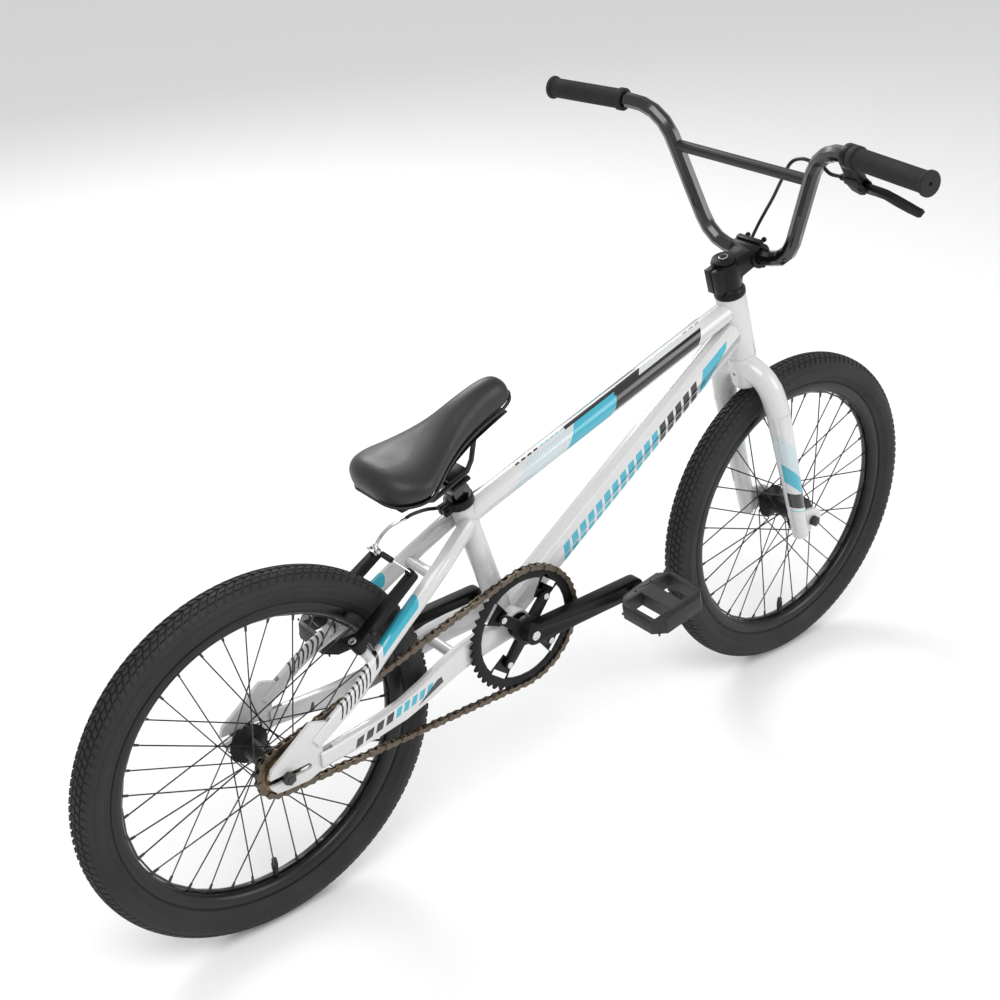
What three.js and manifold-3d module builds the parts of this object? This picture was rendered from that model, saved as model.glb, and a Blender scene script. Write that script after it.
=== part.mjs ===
// A BMX bike with 20 inch wheels: aluminium frame, rigid fork, three-piece cranks,
// single-speed chain drive and one rear V-brake worked by a lever on the right grip.
// Millimetres. X points forward, Y to the rider's left and Z up, and the origin is on
// the ground midway between the two axles. The handlebar points straight ahead.
import * as THREE from "three";
import { mergeVertices } from "three/addons/utils/BufferGeometryUtils.js";
import Module from "manifold-3d";

const wasm = await Module();
wasm.setup();

// ---- Driving dimensions ----
const GAP = 0.3; // between pieces that touch
const RUNNING_GAP = 0.8; // between pieces that turn past each other

const WHEELBASE = 958;
const TYRE_RADIUS = 252;
const TYRE_WIDTH = 48;
const RIM_SEAT_RADIUS = 203;
const RIM_WIDTH = 28;
const RIM_WALL = 2.4;
const RIM_FLANGE_HEIGHT = 6;
const RIM_DEPTH = 11; // from the bead seat in to the spoke bed
const SPOKES_PER_SIDE = 18;
const SPOKE_RADIUS = 1.1;
const SPOKE_LEAN = 60; // degrees round the hub between a spoke's two ends
const FLANGE_RADIUS = 27;
const FLANGE_OFFSET = 29;
const HUB_BODY_RADIUS = 17;
const AXLE_RADIUS = 4.75;
const NUT_RADIUS = 8.6;
const NUT_LENGTH = 7.5;
const WHEEL_SEGMENTS = 30;
const REAR_HUB_WIDTH = 110;
const FRONT_HUB_WIDTH = 100;
const DROPOUT_THICKNESS = 6;

const SEAT_TUBE_CLEARANCE = 134.6; // rear tyre to the bottom bracket axis, measured along X
const BOTTOM_BRACKET_HEIGHT = 294;
const SHELL_WIDTH = 68;
const SHELL_RADIUS = 21;
const CARTRIDGE_RADIUS = 17;
const SEAT_ANGLE = 72.3;
const SEAT_TUBE_LENGTH = 214;
const SEAT_TUBE_RADIUS = 15.9;
const SEAT_POST_RADIUS = 13.6;
const SEAT_POST_INSERTION = 120;
const TOP_TUBE_RADIUS = 16;
const TOP_TUBE_DROP = 32; // down the seat tube from its top
const DOWN_TUBE_WIDTH = 38;
const DOWN_TUBE_HEIGHT = 44;
const HEAD_ANGLE = 74;
const HEAD_TUBE_LENGTH = 101;
const HEAD_TUBE_RADIUS = 22.2;
const BEARING_HEIGHT = 8;
const SEAT_STAY_RADIUS = 10;
const SEAT_STAY_THIN = 13; // its width where it passes the chain
const SEAT_STAY_SPREAD = 46;
const CHAIN_STAY_WIDTH = 16;
const CHAIN_STAY_HEIGHT = 24;

const FORK_OFFSET = 32;
const CROWN_CLEARANCE = 65; // tyre to the top of the fork crown
const STEERER_RADIUS = 14.3;
const STEERER_WALL = 2.6;
const FORK_LEG_SPREAD = 53;
const FORK_LEG_TOP_RADIUS = 18;
const FORK_LEG_TIP_RADIUS = 13;
const STEM_REACH = 48.6;
const STEM_RISE = 39.6; // bar clamp above the top of the head tube
const STEM_CLAMP_HEIGHT = 40;
const STEM_WIDTH = 46;
const COVER_HEIGHT = 13;
const BAR_RADIUS = 11.1;
const BAR_HALF_WIDTH = 335;
const BAR_RISE = 195.7;
const BAR_SWEEP = 28.8; // how far the ends lie behind the upper bends
const CROSSBAR_RADIUS = 8;
const GRIP_RADIUS = 14;
const GRIP_LENGTH = 130;

const PITCH = 12.7;
const RING_TEETH = 44;
const FREEWHEEL_TEETH = 16;
const CHAIN_LINE = 45.8;
const CHAIN_WIDTH = 9.6;
const TOOTH_THICKNESS = 3;
const CRANK_LENGTH = 182;
const CRANK_OUTER_FACE = 71;
const CRANK_HEIGHT = 23;
const SPIDER_RADIUS = 52;
const PEDAL_LENGTH = 96;
const PEDAL_WIDTH = 86;
const PEDAL_THICKNESS = 23;

const SADDLE_LENGTH = 231;
const SADDLE_WIDTH = 136;
const SADDLE_TILT = 19;
const BOSS_RADIUS_FROM_AXLE = 174;
const BOSS_SPREAD = 43;
const BRAKE_ARM_LENGTH = 108;
const BRAKE_PLANE = 37.5; // the arms' height off the line of the seat stays
const HOUSING_RADIUS = 2.5;
const WIRE_RADIUS = 0.8;

// ---- Derived positions ----
const radians = THREE.MathUtils.degToRad;
const v = (x, y, z) => new THREE.Vector3(x, y, z);
const across = (point) => v(point.x, -point.y, point.z);
const SIDEWAYS = v(0, 1, 0);

const rearAxle = v(-WHEELBASE / 2, 0, TYRE_RADIUS);
const frontAxle = v(WHEELBASE / 2, 0, TYRE_RADIUS);
const crankAxis = v(rearAxle.x + TYRE_RADIUS + SEAT_TUBE_CLEARANCE, 0, BOTTOM_BRACKET_HEIGHT);

const seatDirection = v(-Math.cos(radians(SEAT_ANGLE)), 0, Math.sin(radians(SEAT_ANGLE)));
const seatPoint = (height) => crankAxis.clone().addScaledVector(seatDirection, height);

// The steering frame: origin on the steering axis abreast of the front axle, Z up that axis
// and X forward.
const steeringTurn = -radians(90 - HEAD_ANGLE);
const steeringMatrix = new THREE.Matrix4().makeRotationY(steeringTurn);
const steeringOrigin = v(-FORK_OFFSET, 0, 0).applyMatrix4(steeringMatrix).add(frontAxle);
steeringMatrix.setPosition(steeringOrigin);
const fromSteering = (x, y, z) => v(x, y, z).applyMatrix4(steeringMatrix);
const headBottom = TYRE_RADIUS + CROWN_CLEARANCE;
const headTop = headBottom + HEAD_TUBE_LENGTH;
const stemBottom = headTop + COVER_HEIGHT + GAP;
const stemTop = stemBottom + STEM_CLAMP_HEIGHT;
const clampHeight = headTop + STEM_RISE;

// The brake frame: origin on the rear axle, X up the seat stays and Z away from them,
// upwards and back.
const stayTop = seatPoint(SEAT_TUBE_LENGTH - TOP_TUBE_DROP);
const stayAngle = Math.atan2(stayTop.z - rearAxle.z, stayTop.x - rearAxle.x);
const brakeMatrix = new THREE.Matrix4().makeRotationY(-stayAngle).setPosition(rearAxle);
const fromBrake = (x, y, z) => v(x, y, z).applyMatrix4(brakeMatrix);
const stayLength = stayTop.distanceTo(rearAxle);

const pitchRadius = (teeth) => PITCH / (2 * Math.sin(Math.PI / teeth));

// ---- Materials ----
const looks = {
  whitePaint: { color: 0xe9eaea, roughness: 0.3, metalness: 0.1 },
  blackMetal: { color: 0x1d1e20, roughness: 0.4, metalness: 0.6 },
  silver: { color: 0xb9bbbd, roughness: 0.3, metalness: 0.9 },
  chainSteel: { color: 0x4a423c, roughness: 0.45, metalness: 0.8 },
  rubber: { color: 0x1b1b1d, roughness: 0.85, metalness: 0 },
  plastic: { color: 0x222225, roughness: 0.55, metalness: 0 },
  vinyl: { color: 0x2a2a2d, roughness: 0.45, metalness: 0 },
};

// ---- Shape tools ----

// A closed three.js geometry as a manifold-3d solid, so that it can be cut and joined.
function solid(geometry) {
  const bare = geometry.clone();
  bare.deleteAttribute("normal");
  bare.deleteAttribute("uv");
  const merged = mergeVertices(bare, 1e-4);
  const vertProperties = merged.attributes.position.array;
  const triVerts = new Uint32Array(merged.index.array);
  return new wasm.Manifold(new wasm.Mesh({ numProp: 3, vertProperties, triVerts }));
}

function geometryOf(made) {
  const { vertProperties, triVerts } = made.getMesh();
  const geometry = new THREE.BufferGeometry();
  geometry.setAttribute("position", new THREE.BufferAttribute(vertProperties, 3));
  geometry.setIndex(new THREE.BufferAttribute(triVerts, 1));
  geometry.computeVertexNormals();
  return geometry;
}

function addPart(group, name, made, look) {
  const mesh = new THREE.Mesh(geometryOf(made), new THREE.MeshStandardMaterial(looks[look]));
  mesh.name = name;
  group.add(mesh);
}

const joined = (solids) => solids.reduce((all, next) => all.add(next));
const moved = (made, matrix) => solid(geometryOf(made).applyMatrix4(matrix));
const mirroredY = (made) => made.mirror([0, 1, 0]);

// A round bar between two points, which can taper.
function rod(from, to, radius, endRadius = radius, sides = 20) {
  const direction = to.clone().sub(from);
  const length = direction.length();
  const geometry = new THREE.CylinderGeometry(endRadius, radius, length, sides);
  geometry.translate(0, length / 2, 0);
  geometry.applyQuaternion(new THREE.Quaternion().setFromUnitVectors(SIDEWAYS, direction.normalize()));
  return solid(geometry.translate(from.x, from.y, from.z));
}

const crossRod = (x, z, fromY, toY, radius, sides = 20) =>
  rod(v(x, fromY, z), v(x, toY, z), radius, radius, sides);
const uprightRod = (x, y, fromZ, toZ, radius, sides = 20) =>
  rod(v(x, y, fromZ), v(x, y, toZ), radius, radius, sides);

function block(centre, sizeX, sizeY, sizeZ) {
  return solid(new THREE.BoxGeometry(sizeX, sizeY, sizeZ).translate(centre.x, centre.y, centre.z));
}

// A solid of revolution about Y. The profile's [radius, y] pairs run anticlockwise.
function turned(profile, segments = 24) {
  const points = profile.map(([radius, y]) => new THREE.Vector2(radius, y));
  return solid(new THREE.LatheGeometry(points, segments));
}

// The same about Z, from [radius, z] pairs.
const turnedUpright = (profile, segments) => turned(profile, segments).rotate([90, 0, 0]);

const washer = (inner, outer, from, to, segments) =>
  turned([[inner, from], [outer, from], [outer, to], [inner, to], [inner, from]], segments);
const collar = (inner, outer, from, to, segments) =>
  washer(inner, outer, from, to, segments).rotate([90, 0, 0]);

// A prism between two Y values, from an outline in X and Z.
function plate(outline, fromY, toY) {
  const shape = new THREE.Shape(outline.map(([x, z]) => new THREE.Vector2(x, z)));
  const geometry = new THREE.ExtrudeGeometry(shape, { depth: toY - fromY, bevelEnabled: false });
  return solid(geometry.rotateX(Math.PI / 2).translate(0, toY, 0));
}

function circleShape(radius, sides) {
  const points = [];
  for (let i = 0; i < sides; i++) {
    const angle = ((i + 0.5) * 2 * Math.PI) / sides;
    points.push(new THREE.Vector2(radius * Math.cos(angle), radius * Math.sin(angle)));
  }
  return new THREE.Shape(points);
}

function swept(curve, radius, sides, steps) {
  const shape = circleShape(radius, sides);
  return solid(new THREE.ExtrudeGeometry(shape, { steps, extrudePath: curve, bevelEnabled: false }));
}

// A smooth curve through points that are all in one frame.
const smoothCurve = (points) => new THREE.CatmullRomCurve3(points, false, "centripetal");

// Straight stretches between corners, each corner rounded over its own length.
function bendPath(corners, bends) {
  const path = new THREE.CurvePath();
  let start = corners[0];
  for (let i = 1; i < corners.length - 1; i++) {
    const toward = (other) => other.clone().sub(corners[i]).setLength(bends[i - 1]).add(corners[i]);
    const before = toward(corners[i - 1]);
    const after = toward(corners[i + 1]);
    path.add(new THREE.LineCurve3(start, before));
    path.add(new THREE.QuadraticBezierCurve3(before, corners[i], after));
    start = after;
  }
  path.add(new THREE.LineCurve3(start, corners[corners.length - 1]));
  return path;
}

// A closed skin over sections: place(share, angle, reach) gives the point at that share of the
// length and that angle round the section, and reach is 1 on the skin and 0 at its middle.
function skinned(sides, steps, place) {
  const geometry = new THREE.CylinderGeometry(1, 1, 1, sides, steps);
  const position = geometry.attributes.position;
  for (let i = 0; i < position.count; i++) {
    const reach = Math.hypot(position.getX(i), position.getZ(i));
    const angle = Math.atan2(position.getX(i), position.getZ(i));
    const point = place(position.getY(i) + 0.5, angle, reach);
    position.setXYZ(i, point.x, point.y, point.z);
  }
  return solid(geometry);
}

const squared = (wave, squareness) => Math.sign(wave) * Math.abs(wave) ** (1 - squareness);

// A straight member that is wide across the bike and high in its side view, with soft corners.
// Each end's size is [width, height].
function beam(from, to, startSize, endSize, squareness = 0.55, sides = 12) {
  const direction = to.clone().sub(from).normalize();
  const high = SIDEWAYS.clone().cross(direction).negate().normalize();
  const wide = direction.clone().cross(high);
  return skinned(sides, 1, (share, angle, reach) => {
    const width = THREE.MathUtils.lerp(startSize[0], endSize[0], share);
    const height = THREE.MathUtils.lerp(startSize[1], endSize[1], share);
    return from
      .clone()
      .lerp(to, share)
      .addScaledVector(high, (reach * squared(Math.cos(angle), squareness) * height) / 2)
      .addScaledVector(wide, (reach * squared(Math.sin(angle), squareness) * width) / 2);
  });
}

// ---- Frame ----
const headSolid = (extra) =>
  moved(
    turnedUpright([
      [0, headBottom], [HEAD_TUBE_RADIUS + extra, headBottom],
      [HEAD_TUBE_RADIUS + extra, headTop], [0, headTop],
    ]),
    steeringMatrix,
  );

function headTube() {
  const bore = STEERER_RADIUS + 3;
  const seat = HEAD_TUBE_RADIUS - 1.6;
  const tube = turnedUpright([
    [seat, headBottom], [HEAD_TUBE_RADIUS, headBottom],
    [HEAD_TUBE_RADIUS, headTop], [seat, headTop],
    [seat, headTop - BEARING_HEIGHT], [bore, headTop - BEARING_HEIGHT],
    [bore, headBottom + BEARING_HEIGHT], [seat, headBottom + BEARING_HEIGHT],
    [seat, headBottom],
  ]);
  return moved(tube, steeringMatrix);
}

const bearing = (from) =>
  moved(
    collar(STEERER_RADIUS + GAP, HEAD_TUBE_RADIUS - 1.6 - GAP, from, from + BEARING_HEIGHT - GAP, 20),
    steeringMatrix,
  );

const seatTubeSolid = rod(crankAxis, seatPoint(SEAT_TUBE_LENGTH), SEAT_TUBE_RADIUS);
const seatTubeRoom = rod(crankAxis, seatPoint(SEAT_TUBE_LENGTH), SEAT_TUBE_RADIUS + GAP);
const shellRoom = crossRod(
  crankAxis.x, crankAxis.z, -SHELL_WIDTH, SHELL_WIDTH, SHELL_RADIUS + GAP, 28,
);

const topTubeRear = seatPoint(SEAT_TUBE_LENGTH - TOP_TUBE_DROP);
const topTubeFront = fromSteering(0, 0, headTop - TOP_TUBE_RADIUS - 5);
const downTubeFront = fromSteering(0, 0, headBottom + DOWN_TUBE_HEIGHT + 5);

const topTubeRoom = rod(topTubeRear, topTubeFront, TOP_TUBE_RADIUS + GAP);
const topTube = rod(topTubeRear, topTubeFront, TOP_TUBE_RADIUS)
  .subtract(seatTubeRoom)
  .subtract(headSolid(GAP));
const downTube = beam(
  crankAxis,
  downTubeFront,
  [DOWN_TUBE_WIDTH, DOWN_TUBE_HEIGHT - 4],
  [DOWN_TUBE_WIDTH, DOWN_TUBE_HEIGHT],
  0.3,
)
  .subtract(headSolid(GAP))
  .subtract(topTubeRoom)
  .subtract(seatTubeRoom)
  .subtract(shellRoom);
const seatTube = seatTubeSolid
  .subtract(rod(seatPoint(SHELL_RADIUS), seatPoint(SEAT_TUBE_LENGTH + 1), SEAT_POST_RADIUS + GAP))
  .subtract(shellRoom);
const shell = washer(CARTRIDGE_RADIUS + GAP, SHELL_RADIUS, -SHELL_WIDTH / 2, SHELL_WIDTH / 2, 28)
  .translate(crankAxis.x, 0, crankAxis.z);

// A stay from stations of [x, y, z, width, height], with its section upright.
function stay(stations, steps, squareness) {
  const curve = smoothCurve(stations.map(([x, y, z]) => v(x, y, z)));
  const last = stations.length - 1;
  return skinned(10, steps, (share, angle, reach) => {
    const direction = curve.getTangent(share);
    const high = SIDEWAYS.clone().cross(direction).negate().normalize();
    const wide = direction.clone().cross(high);
    const place = Math.min(Math.floor(share * last), last - 1);
    const size = (column) =>
      THREE.MathUtils.lerp(stations[place][column], stations[place + 1][column], share * last - place);
    return curve
      .getPoint(share)
      .addScaledVector(high, (reach * squared(Math.cos(angle), squareness) * size(4)) / 2)
      .addScaledVector(wide, (reach * squared(Math.sin(angle), squareness) * size(3)) / 2);
  });
}

const stayEnd = REAR_HUB_WIDTH / 2 + DROPOUT_THICKNESS / 2;

function chainStay() {
  const tyreSide = TYRE_WIDTH / 2 + 4;
  const width = CHAIN_STAY_WIDTH;
  return stay(
    [
      [crankAxis.x - 8, tyreSide - 2, crankAxis.z - 1, width, CHAIN_STAY_HEIGHT + 12],
      [crankAxis.x - 98, tyreSide + 5.5, crankAxis.z - 9, width, CHAIN_STAY_HEIGHT + 12],
      [rearAxle.x + 184, tyreSide + 16, rearAxle.z + 4, width - 1, CHAIN_STAY_HEIGHT + 6],
      [rearAxle.x + 48, stayEnd, rearAxle.z + 1, width - 3, CHAIN_STAY_HEIGHT],
    ],
    9,
    0.6,
  ).subtract(shellRoom);
}

function seatStay() {
  const size = 2 * SEAT_STAY_RADIUS;
  const station = (x, y, width, height) => {
    const point = fromBrake(x, y, 0);
    return [point.x, y, point.z, width, height];
  };
  const chainSide = CHAIN_LINE + CHAIN_WIDTH / 2 + 1.5 + SEAT_STAY_THIN / 2;
  const tube = stay(
    [
      station(stayLength - 6, 15, size + 1, size + 2),
      station(BOSS_RADIUS_FROM_AXLE + 130, 31, size + 1, size + 2),
      station(BOSS_RADIUS_FROM_AXLE + 14, SEAT_STAY_SPREAD, size - 1, size + 2),
      station(BOSS_RADIUS_FROM_AXLE - 46, chainSide, SEAT_STAY_THIN, size + 1),
      station(52, stayEnd, SEAT_STAY_THIN, size),
    ],
    10,
    0.2,
  );
  const bossAt = (height) => fromBrake(BOSS_RADIUS_FROM_AXLE, BOSS_SPREAD, height);
  const boss = rod(bossAt(4), bossAt(BRAKE_PLANE - 9), 6.5, 6.5, 12);
  const pin = rod(bossAt(4), bossAt(BRAKE_PLANE + 10), 4, 4, 12);
  return joined([tube, boss, pin]).subtract(seatTubeRoom).subtract(topTubeRoom);
}

// A dropout plate with its axle slot open to the rear. The chain stay and the seat stay end on it.
function dropout() {
  const at = (x, z) => [rearAxle.x + x, rearAxle.z + z];
  const inner = REAR_HUB_WIDTH / 2;
  const outline = [
    at(-24, 6), at(-20, 18), at(6, 36), at(40, 60), at(62, 52), at(52, 24),
    at(54, -12), at(30, -20), at(0, -19), at(-16, -17), at(-24, -7),
  ];
  const slot = joined([
    plate([at(-40, -5.2), at(30, -5.2), at(30, 5.2), at(-40, 5.2)], inner - 1, inner + DROPOUT_THICKNESS + 1),
    crossRod(rearAxle.x + 30, rearAxle.z, inner - 1, inner + DROPOUT_THICKNESS + 1, 5.2, 12),
  ]);
  return plate(outline, inner, inner + DROPOUT_THICKNESS).subtract(slot);
}

const frame = new THREE.Group();
const dropoutLeft = dropout();
const dropoutRoom = block(
  v(rearAxle.x + 5, REAR_HUB_WIDTH / 2 + DROPOUT_THICKNESS / 2, rearAxle.z + 20),
  125,
  DROPOUT_THICKNESS + 2 * GAP,
  110,
);
const chainStayLeft = chainStay().subtract(dropoutRoom);
const seatStayLeft = seatStay().subtract(dropoutRoom);

// A round tube across the bike that ends against the left stay and its mirror image.
function bridge(point, stayLeft) {
  const tube = crossRod(point.x, point.z, -SEAT_STAY_SPREAD, SEAT_STAY_SPREAD, 8, 12);
  const room = stayLeft.translate(0, -GAP, 0).add(stayLeft.translate(0, 20, 0));
  return tube.subtract(room).subtract(mirroredY(room)).intersect(
    block(point, 40, 2 * SEAT_STAY_SPREAD - 20, 40),
  );
}

const seatBridgePlace = fromBrake(BOSS_RADIUS_FROM_AXLE + 132, 0, 0);
const chainBridgePlace = v(rearAxle.x + TYRE_RADIUS + 32, 0, crankAxis.z - 8);
const frameParts = {
  head_tube: headTube(),
  top_tube: topTube,
  down_tube: downTube,
  seat_tube: seatTube,
  bottom_bracket_shell: shell,
  chain_stay_left: chainStayLeft,
  chain_stay_right: mirroredY(chainStayLeft),
  chain_stay_bridge: bridge(chainBridgePlace, chainStayLeft),
  seat_stay_left: seatStayLeft,
  seat_stay_right: mirroredY(seatStayLeft),
  seat_stay_bridge: bridge(seatBridgePlace, seatStayLeft),
  dropout_left: dropoutLeft,
  dropout_right: mirroredY(dropoutLeft),
};
for (const [name, made] of Object.entries(frameParts)) addPart(frame, name, made, "whitePaint");
addPart(frame, "headset_lower_bearing", bearing(headBottom), "silver");
addPart(frame, "headset_upper_bearing", bearing(headTop - BEARING_HEIGHT + GAP), "silver");

// ---- Seat, in a frame on the crank axis with Z up the seat tube ----
const seat = new THREE.Group();
seat.position.copy(crankAxis);
seat.rotation.y = -radians(90 - SEAT_ANGLE);
const collarBottom = SEAT_TUBE_LENGTH - 10;
const collarTop = SEAT_TUBE_LENGTH + 2;
const clampBottom = SEAT_TUBE_LENGTH + 4;
const tiltHeight = SEAT_TUBE_LENGTH + 28;

// A split ring round the top of the seat tube, closed by the bolt through its ears at the back.
function seatCollar() {
  const middle = (collarBottom + collarTop) / 2;
  const back = -SEAT_TUBE_RADIUS - 8;
  const outer = SEAT_TUBE_RADIUS + 4;
  const body = uprightRod(0, 0, collarBottom, collarTop, outer, 16);
  const postRoom = uprightRod(0, 0, 0, collarTop + 1, SEAT_POST_RADIUS + GAP);
  const ears = block(v(back + 1, 0, middle), 14, 16, collarTop - collarBottom);
  const slit = block(v(back - 2, 0, middle), 18, 2, 20);
  const bolt = crossRod(back - 1, middle, -12, 12, 3.6, 8);
  const tube = uprightRod(0, 0, 0, SEAT_TUBE_LENGTH + GAP, SEAT_TUBE_RADIUS + GAP);
  return body.add(ears).subtract(slit).subtract(tube).subtract(postRoom).add(bolt);
}

// The post's head is a round bar across the bike, and the saddle's clamp tilts on it.
const cradleRadius = 12.5;

function seatPost() {
  const post = uprightRod(0, 0, SEAT_TUBE_LENGTH - SEAT_POST_INSERTION, clampBottom + 8, SEAT_POST_RADIUS);
  return post.add(crossRod(0, tiltHeight - cradleRadius, -15, 15, cradleRadius, 16));
}

function saddleClamp() {
  const jaw = 4.4;
  const lower = block(v(0, 0, tiltHeight + 0.5 + jaw / 2), 30, 44, jaw);
  const upper = block(v(0, 0, tiltHeight + 14 + jaw / 2), 30, 44, jaw);
  const post = uprightRod(0, 0, tiltHeight + 1, tiltHeight + 16, 8, 12);
  return joined([lower, upper, post]);
}

// The saddle's own frame: its origin on the tilt axis and X along its length.
const saddle = new THREE.Group();
saddle.position.set(0, 0, tiltHeight);
saddle.rotation.y = radians(90 - SEAT_ANGLE - SADDLE_TILT);
const saddleRear = -0.49 * SADDLE_LENGTH;
const railHeight = 9.5;
const skirtHeight = 52.7;

// Sections of the pad from its rear to its nose: the share of the length, then the half width
// as a share of the widest, and the heights of the skirt's edge and the crown above the rails.
const padSections = [
  [0, 0.3, 64, 78], [0.015, 0.52, 57, 86], [0.05, 0.76, skirtHeight, 93], [0.1, 0.9, skirtHeight - 3, 96],
  [0.16, 0.99, skirtHeight - 6, 93], [0.23, 1, skirtHeight - 7, 89], [0.3, 0.88, skirtHeight - 5, 87],
  [0.38, 0.74, skirtHeight - 1, 86.5], [0.47, 0.6, skirtHeight, 87.5], [0.57, 0.46, skirtHeight, 91],
  [0.68, 0.37, skirtHeight, 96], [0.8, 0.325, skirtHeight, 97.5], [0.9, 0.31, skirtHeight, 96],
  [0.96, 0.26, skirtHeight + 2, 91], [0.985, 0.19, 57, 84], [1, 0.09, 63, 76],
];

function padSize(share, column) {
  const next = Math.max(1, padSections.findIndex(([at]) => at >= share));
  const [before, after] = [padSections[next - 1], padSections[next]];
  const part = (share - before[0]) / (after[0] - before[0]);
  return THREE.MathUtils.lerp(before[column], after[column], part);
}

const padWidth = (share) => (padSize(share, 1) * SADDLE_WIDTH) / 2;

function saddlePad() {
  const steps = padSections.length - 1;
  return skinned(16, steps, (step, angle, reach) => {
    const share = padSections[Math.round(step * steps)][0];
    const [bottom, top] = [padSize(share, 2), padSize(share, 3)];
    const middle = THREE.MathUtils.lerp(bottom, top, 0.3);
    const high = squared(Math.cos(angle), 0.35) * reach;
    return v(
      saddleRear + share * SADDLE_LENGTH,
      -padWidth(share) * reach * squared(Math.sin(angle), 0.3),
      THREE.MathUtils.lerp(middle, high > 0 ? top : bottom, Math.abs(high)),
    );
  });
}

// The hard shell under the pad, with the two rails moulded into its ends.
function saddleBase() {
  const under = skirtHeight - 7 - GAP;
  const thickness = 3;
  const shellPlate = skinned(12, 6, (share, angle, reach) =>
    v(
      saddleRear + 14 + share * (SADDLE_LENGTH - 30),
      -padWidth(0.06 + 0.88 * share) * 0.8 * reach * squared(Math.sin(angle), 0.3),
      under - (thickness / 2) * (1 - reach * squared(Math.cos(angle), 0.3)),
    ));
  const rail = (y) =>
    swept(
      bendPath(
        [v(-74, y, under - 2), v(-50, y, railHeight), v(22, y * 0.8, railHeight), v(46, y * 0.6, under - 2)],
        [10, 10],
      ),
      3.5,
      6,
      10,
    );
  return joined([shellPlate, rail(20), rail(-20)]);
}

addPart(seat, "seat_collar", seatCollar(), "blackMetal");
addPart(seat, "seat_post", seatPost(), "blackMetal");
addPart(seat, "saddle_clamp", saddleClamp(), "blackMetal");
addPart(saddle, "saddle_pad", saddlePad(), "vinyl");
addPart(saddle, "saddle_base", saddleBase(), "plastic");
seat.add(saddle);

// ---- Fork, stem and handlebar, in the steering frame ----
const steering = new THREE.Group();
steering.position.copy(steeringOrigin);
steering.rotation.y = steeringTurn;

function fork() {
  const crownTop = headBottom - GAP;
  const steerer = uprightRod(0, 0, crownTop - 4, stemTop - 2, STEERER_RADIUS, 24);
  const crown = turnedUpright([
    [0, crownTop - 52], [18, crownTop - 52], [21, crownTop - 44],
    [21, crownTop - 10], [HEAD_TUBE_RADIUS, crownTop], [0, crownTop],
  ]);
  const bore = uprightRod(0, 0, crownTop - 60, stemTop, STEERER_RADIUS - STEERER_WALL, 12);
  const boltHole = rod(v(-30, 0, crownTop - 26), v(30, 0, crownTop - 26), 3.2, 3.2, 8);
  const shoulder = (side) =>
    swept(
      smoothCurve([
        v(0, 4 * side, crownTop - 20), v(0, 28 * side, crownTop - 27),
        v(1, 46 * side, crownTop - 50), v(2, FORK_LEG_SPREAD * side, crownTop - 92),
      ]),
      FORK_LEG_TOP_RADIUS,
      12,
      7,
    );
  const leg = (side) =>
    rod(
      v(2, FORK_LEG_SPREAD * side, crownTop - 90),
      v(4, (FORK_LEG_SPREAD + 2) * side, -8),
      FORK_LEG_TOP_RADIUS,
      FORK_LEG_TIP_RADIUS,
      12,
    );
  const tip = plate(
    [[-6, -10], [30, -17], [44, -14], [50, -4], [50, 8], [42, 17], [24, 24], [0, 46], [-8, 44]],
    FRONT_HUB_WIDTH / 2,
    FRONT_HUB_WIDTH / 2 + DROPOUT_THICKNESS,
  );
  const slotRoom = (side) => {
    const near = FRONT_HUB_WIDTH / 2 - 3;
    const depth = DROPOUT_THICKNESS + 6;
    const middle = side * (near + depth / 2);
    return crossRod(FORK_OFFSET, 0, middle - depth / 2, middle + depth / 2, AXLE_RADIUS + GAP, 12).add(
      block(v(FORK_OFFSET, middle, -15), 2 * (AXLE_RADIUS + GAP), depth, 30),
    );
  };
  const hubRoom = crossRod(
    FORK_OFFSET, 0, -FRONT_HUB_WIDTH / 2 + GAP, FRONT_HUB_WIDTH / 2 - GAP, 30, 24,
  );
  const legs = [1, -1].map((side) =>
    joined([shoulder(side), leg(side).subtract(hubRoom), side > 0 ? tip : mirroredY(tip)])
      .subtract(slotRoom(side)));
  return joined([steerer, crown, ...legs]).subtract(bore).subtract(boltHole);
}

const coverRing = turnedUpright([
  [STEERER_RADIUS + GAP, headTop + GAP],
  [HEAD_TUBE_RADIUS + 0.6, headTop + GAP],
  [HEAD_TUBE_RADIUS + 0.6, headTop + 7],
  [HEAD_TUBE_RADIUS - 3, headTop + COVER_HEIGHT],
  [STEERER_RADIUS + GAP, headTop + COVER_HEIGHT],
  [STEERER_RADIUS + GAP, headTop + GAP],
]);

const barClampRadius = BAR_RADIUS + 6.5;
const barRoom = crossRod(STEM_REACH, clampHeight, -STEM_WIDTH, STEM_WIDTH, BAR_RADIUS + GAP, 20);

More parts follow.
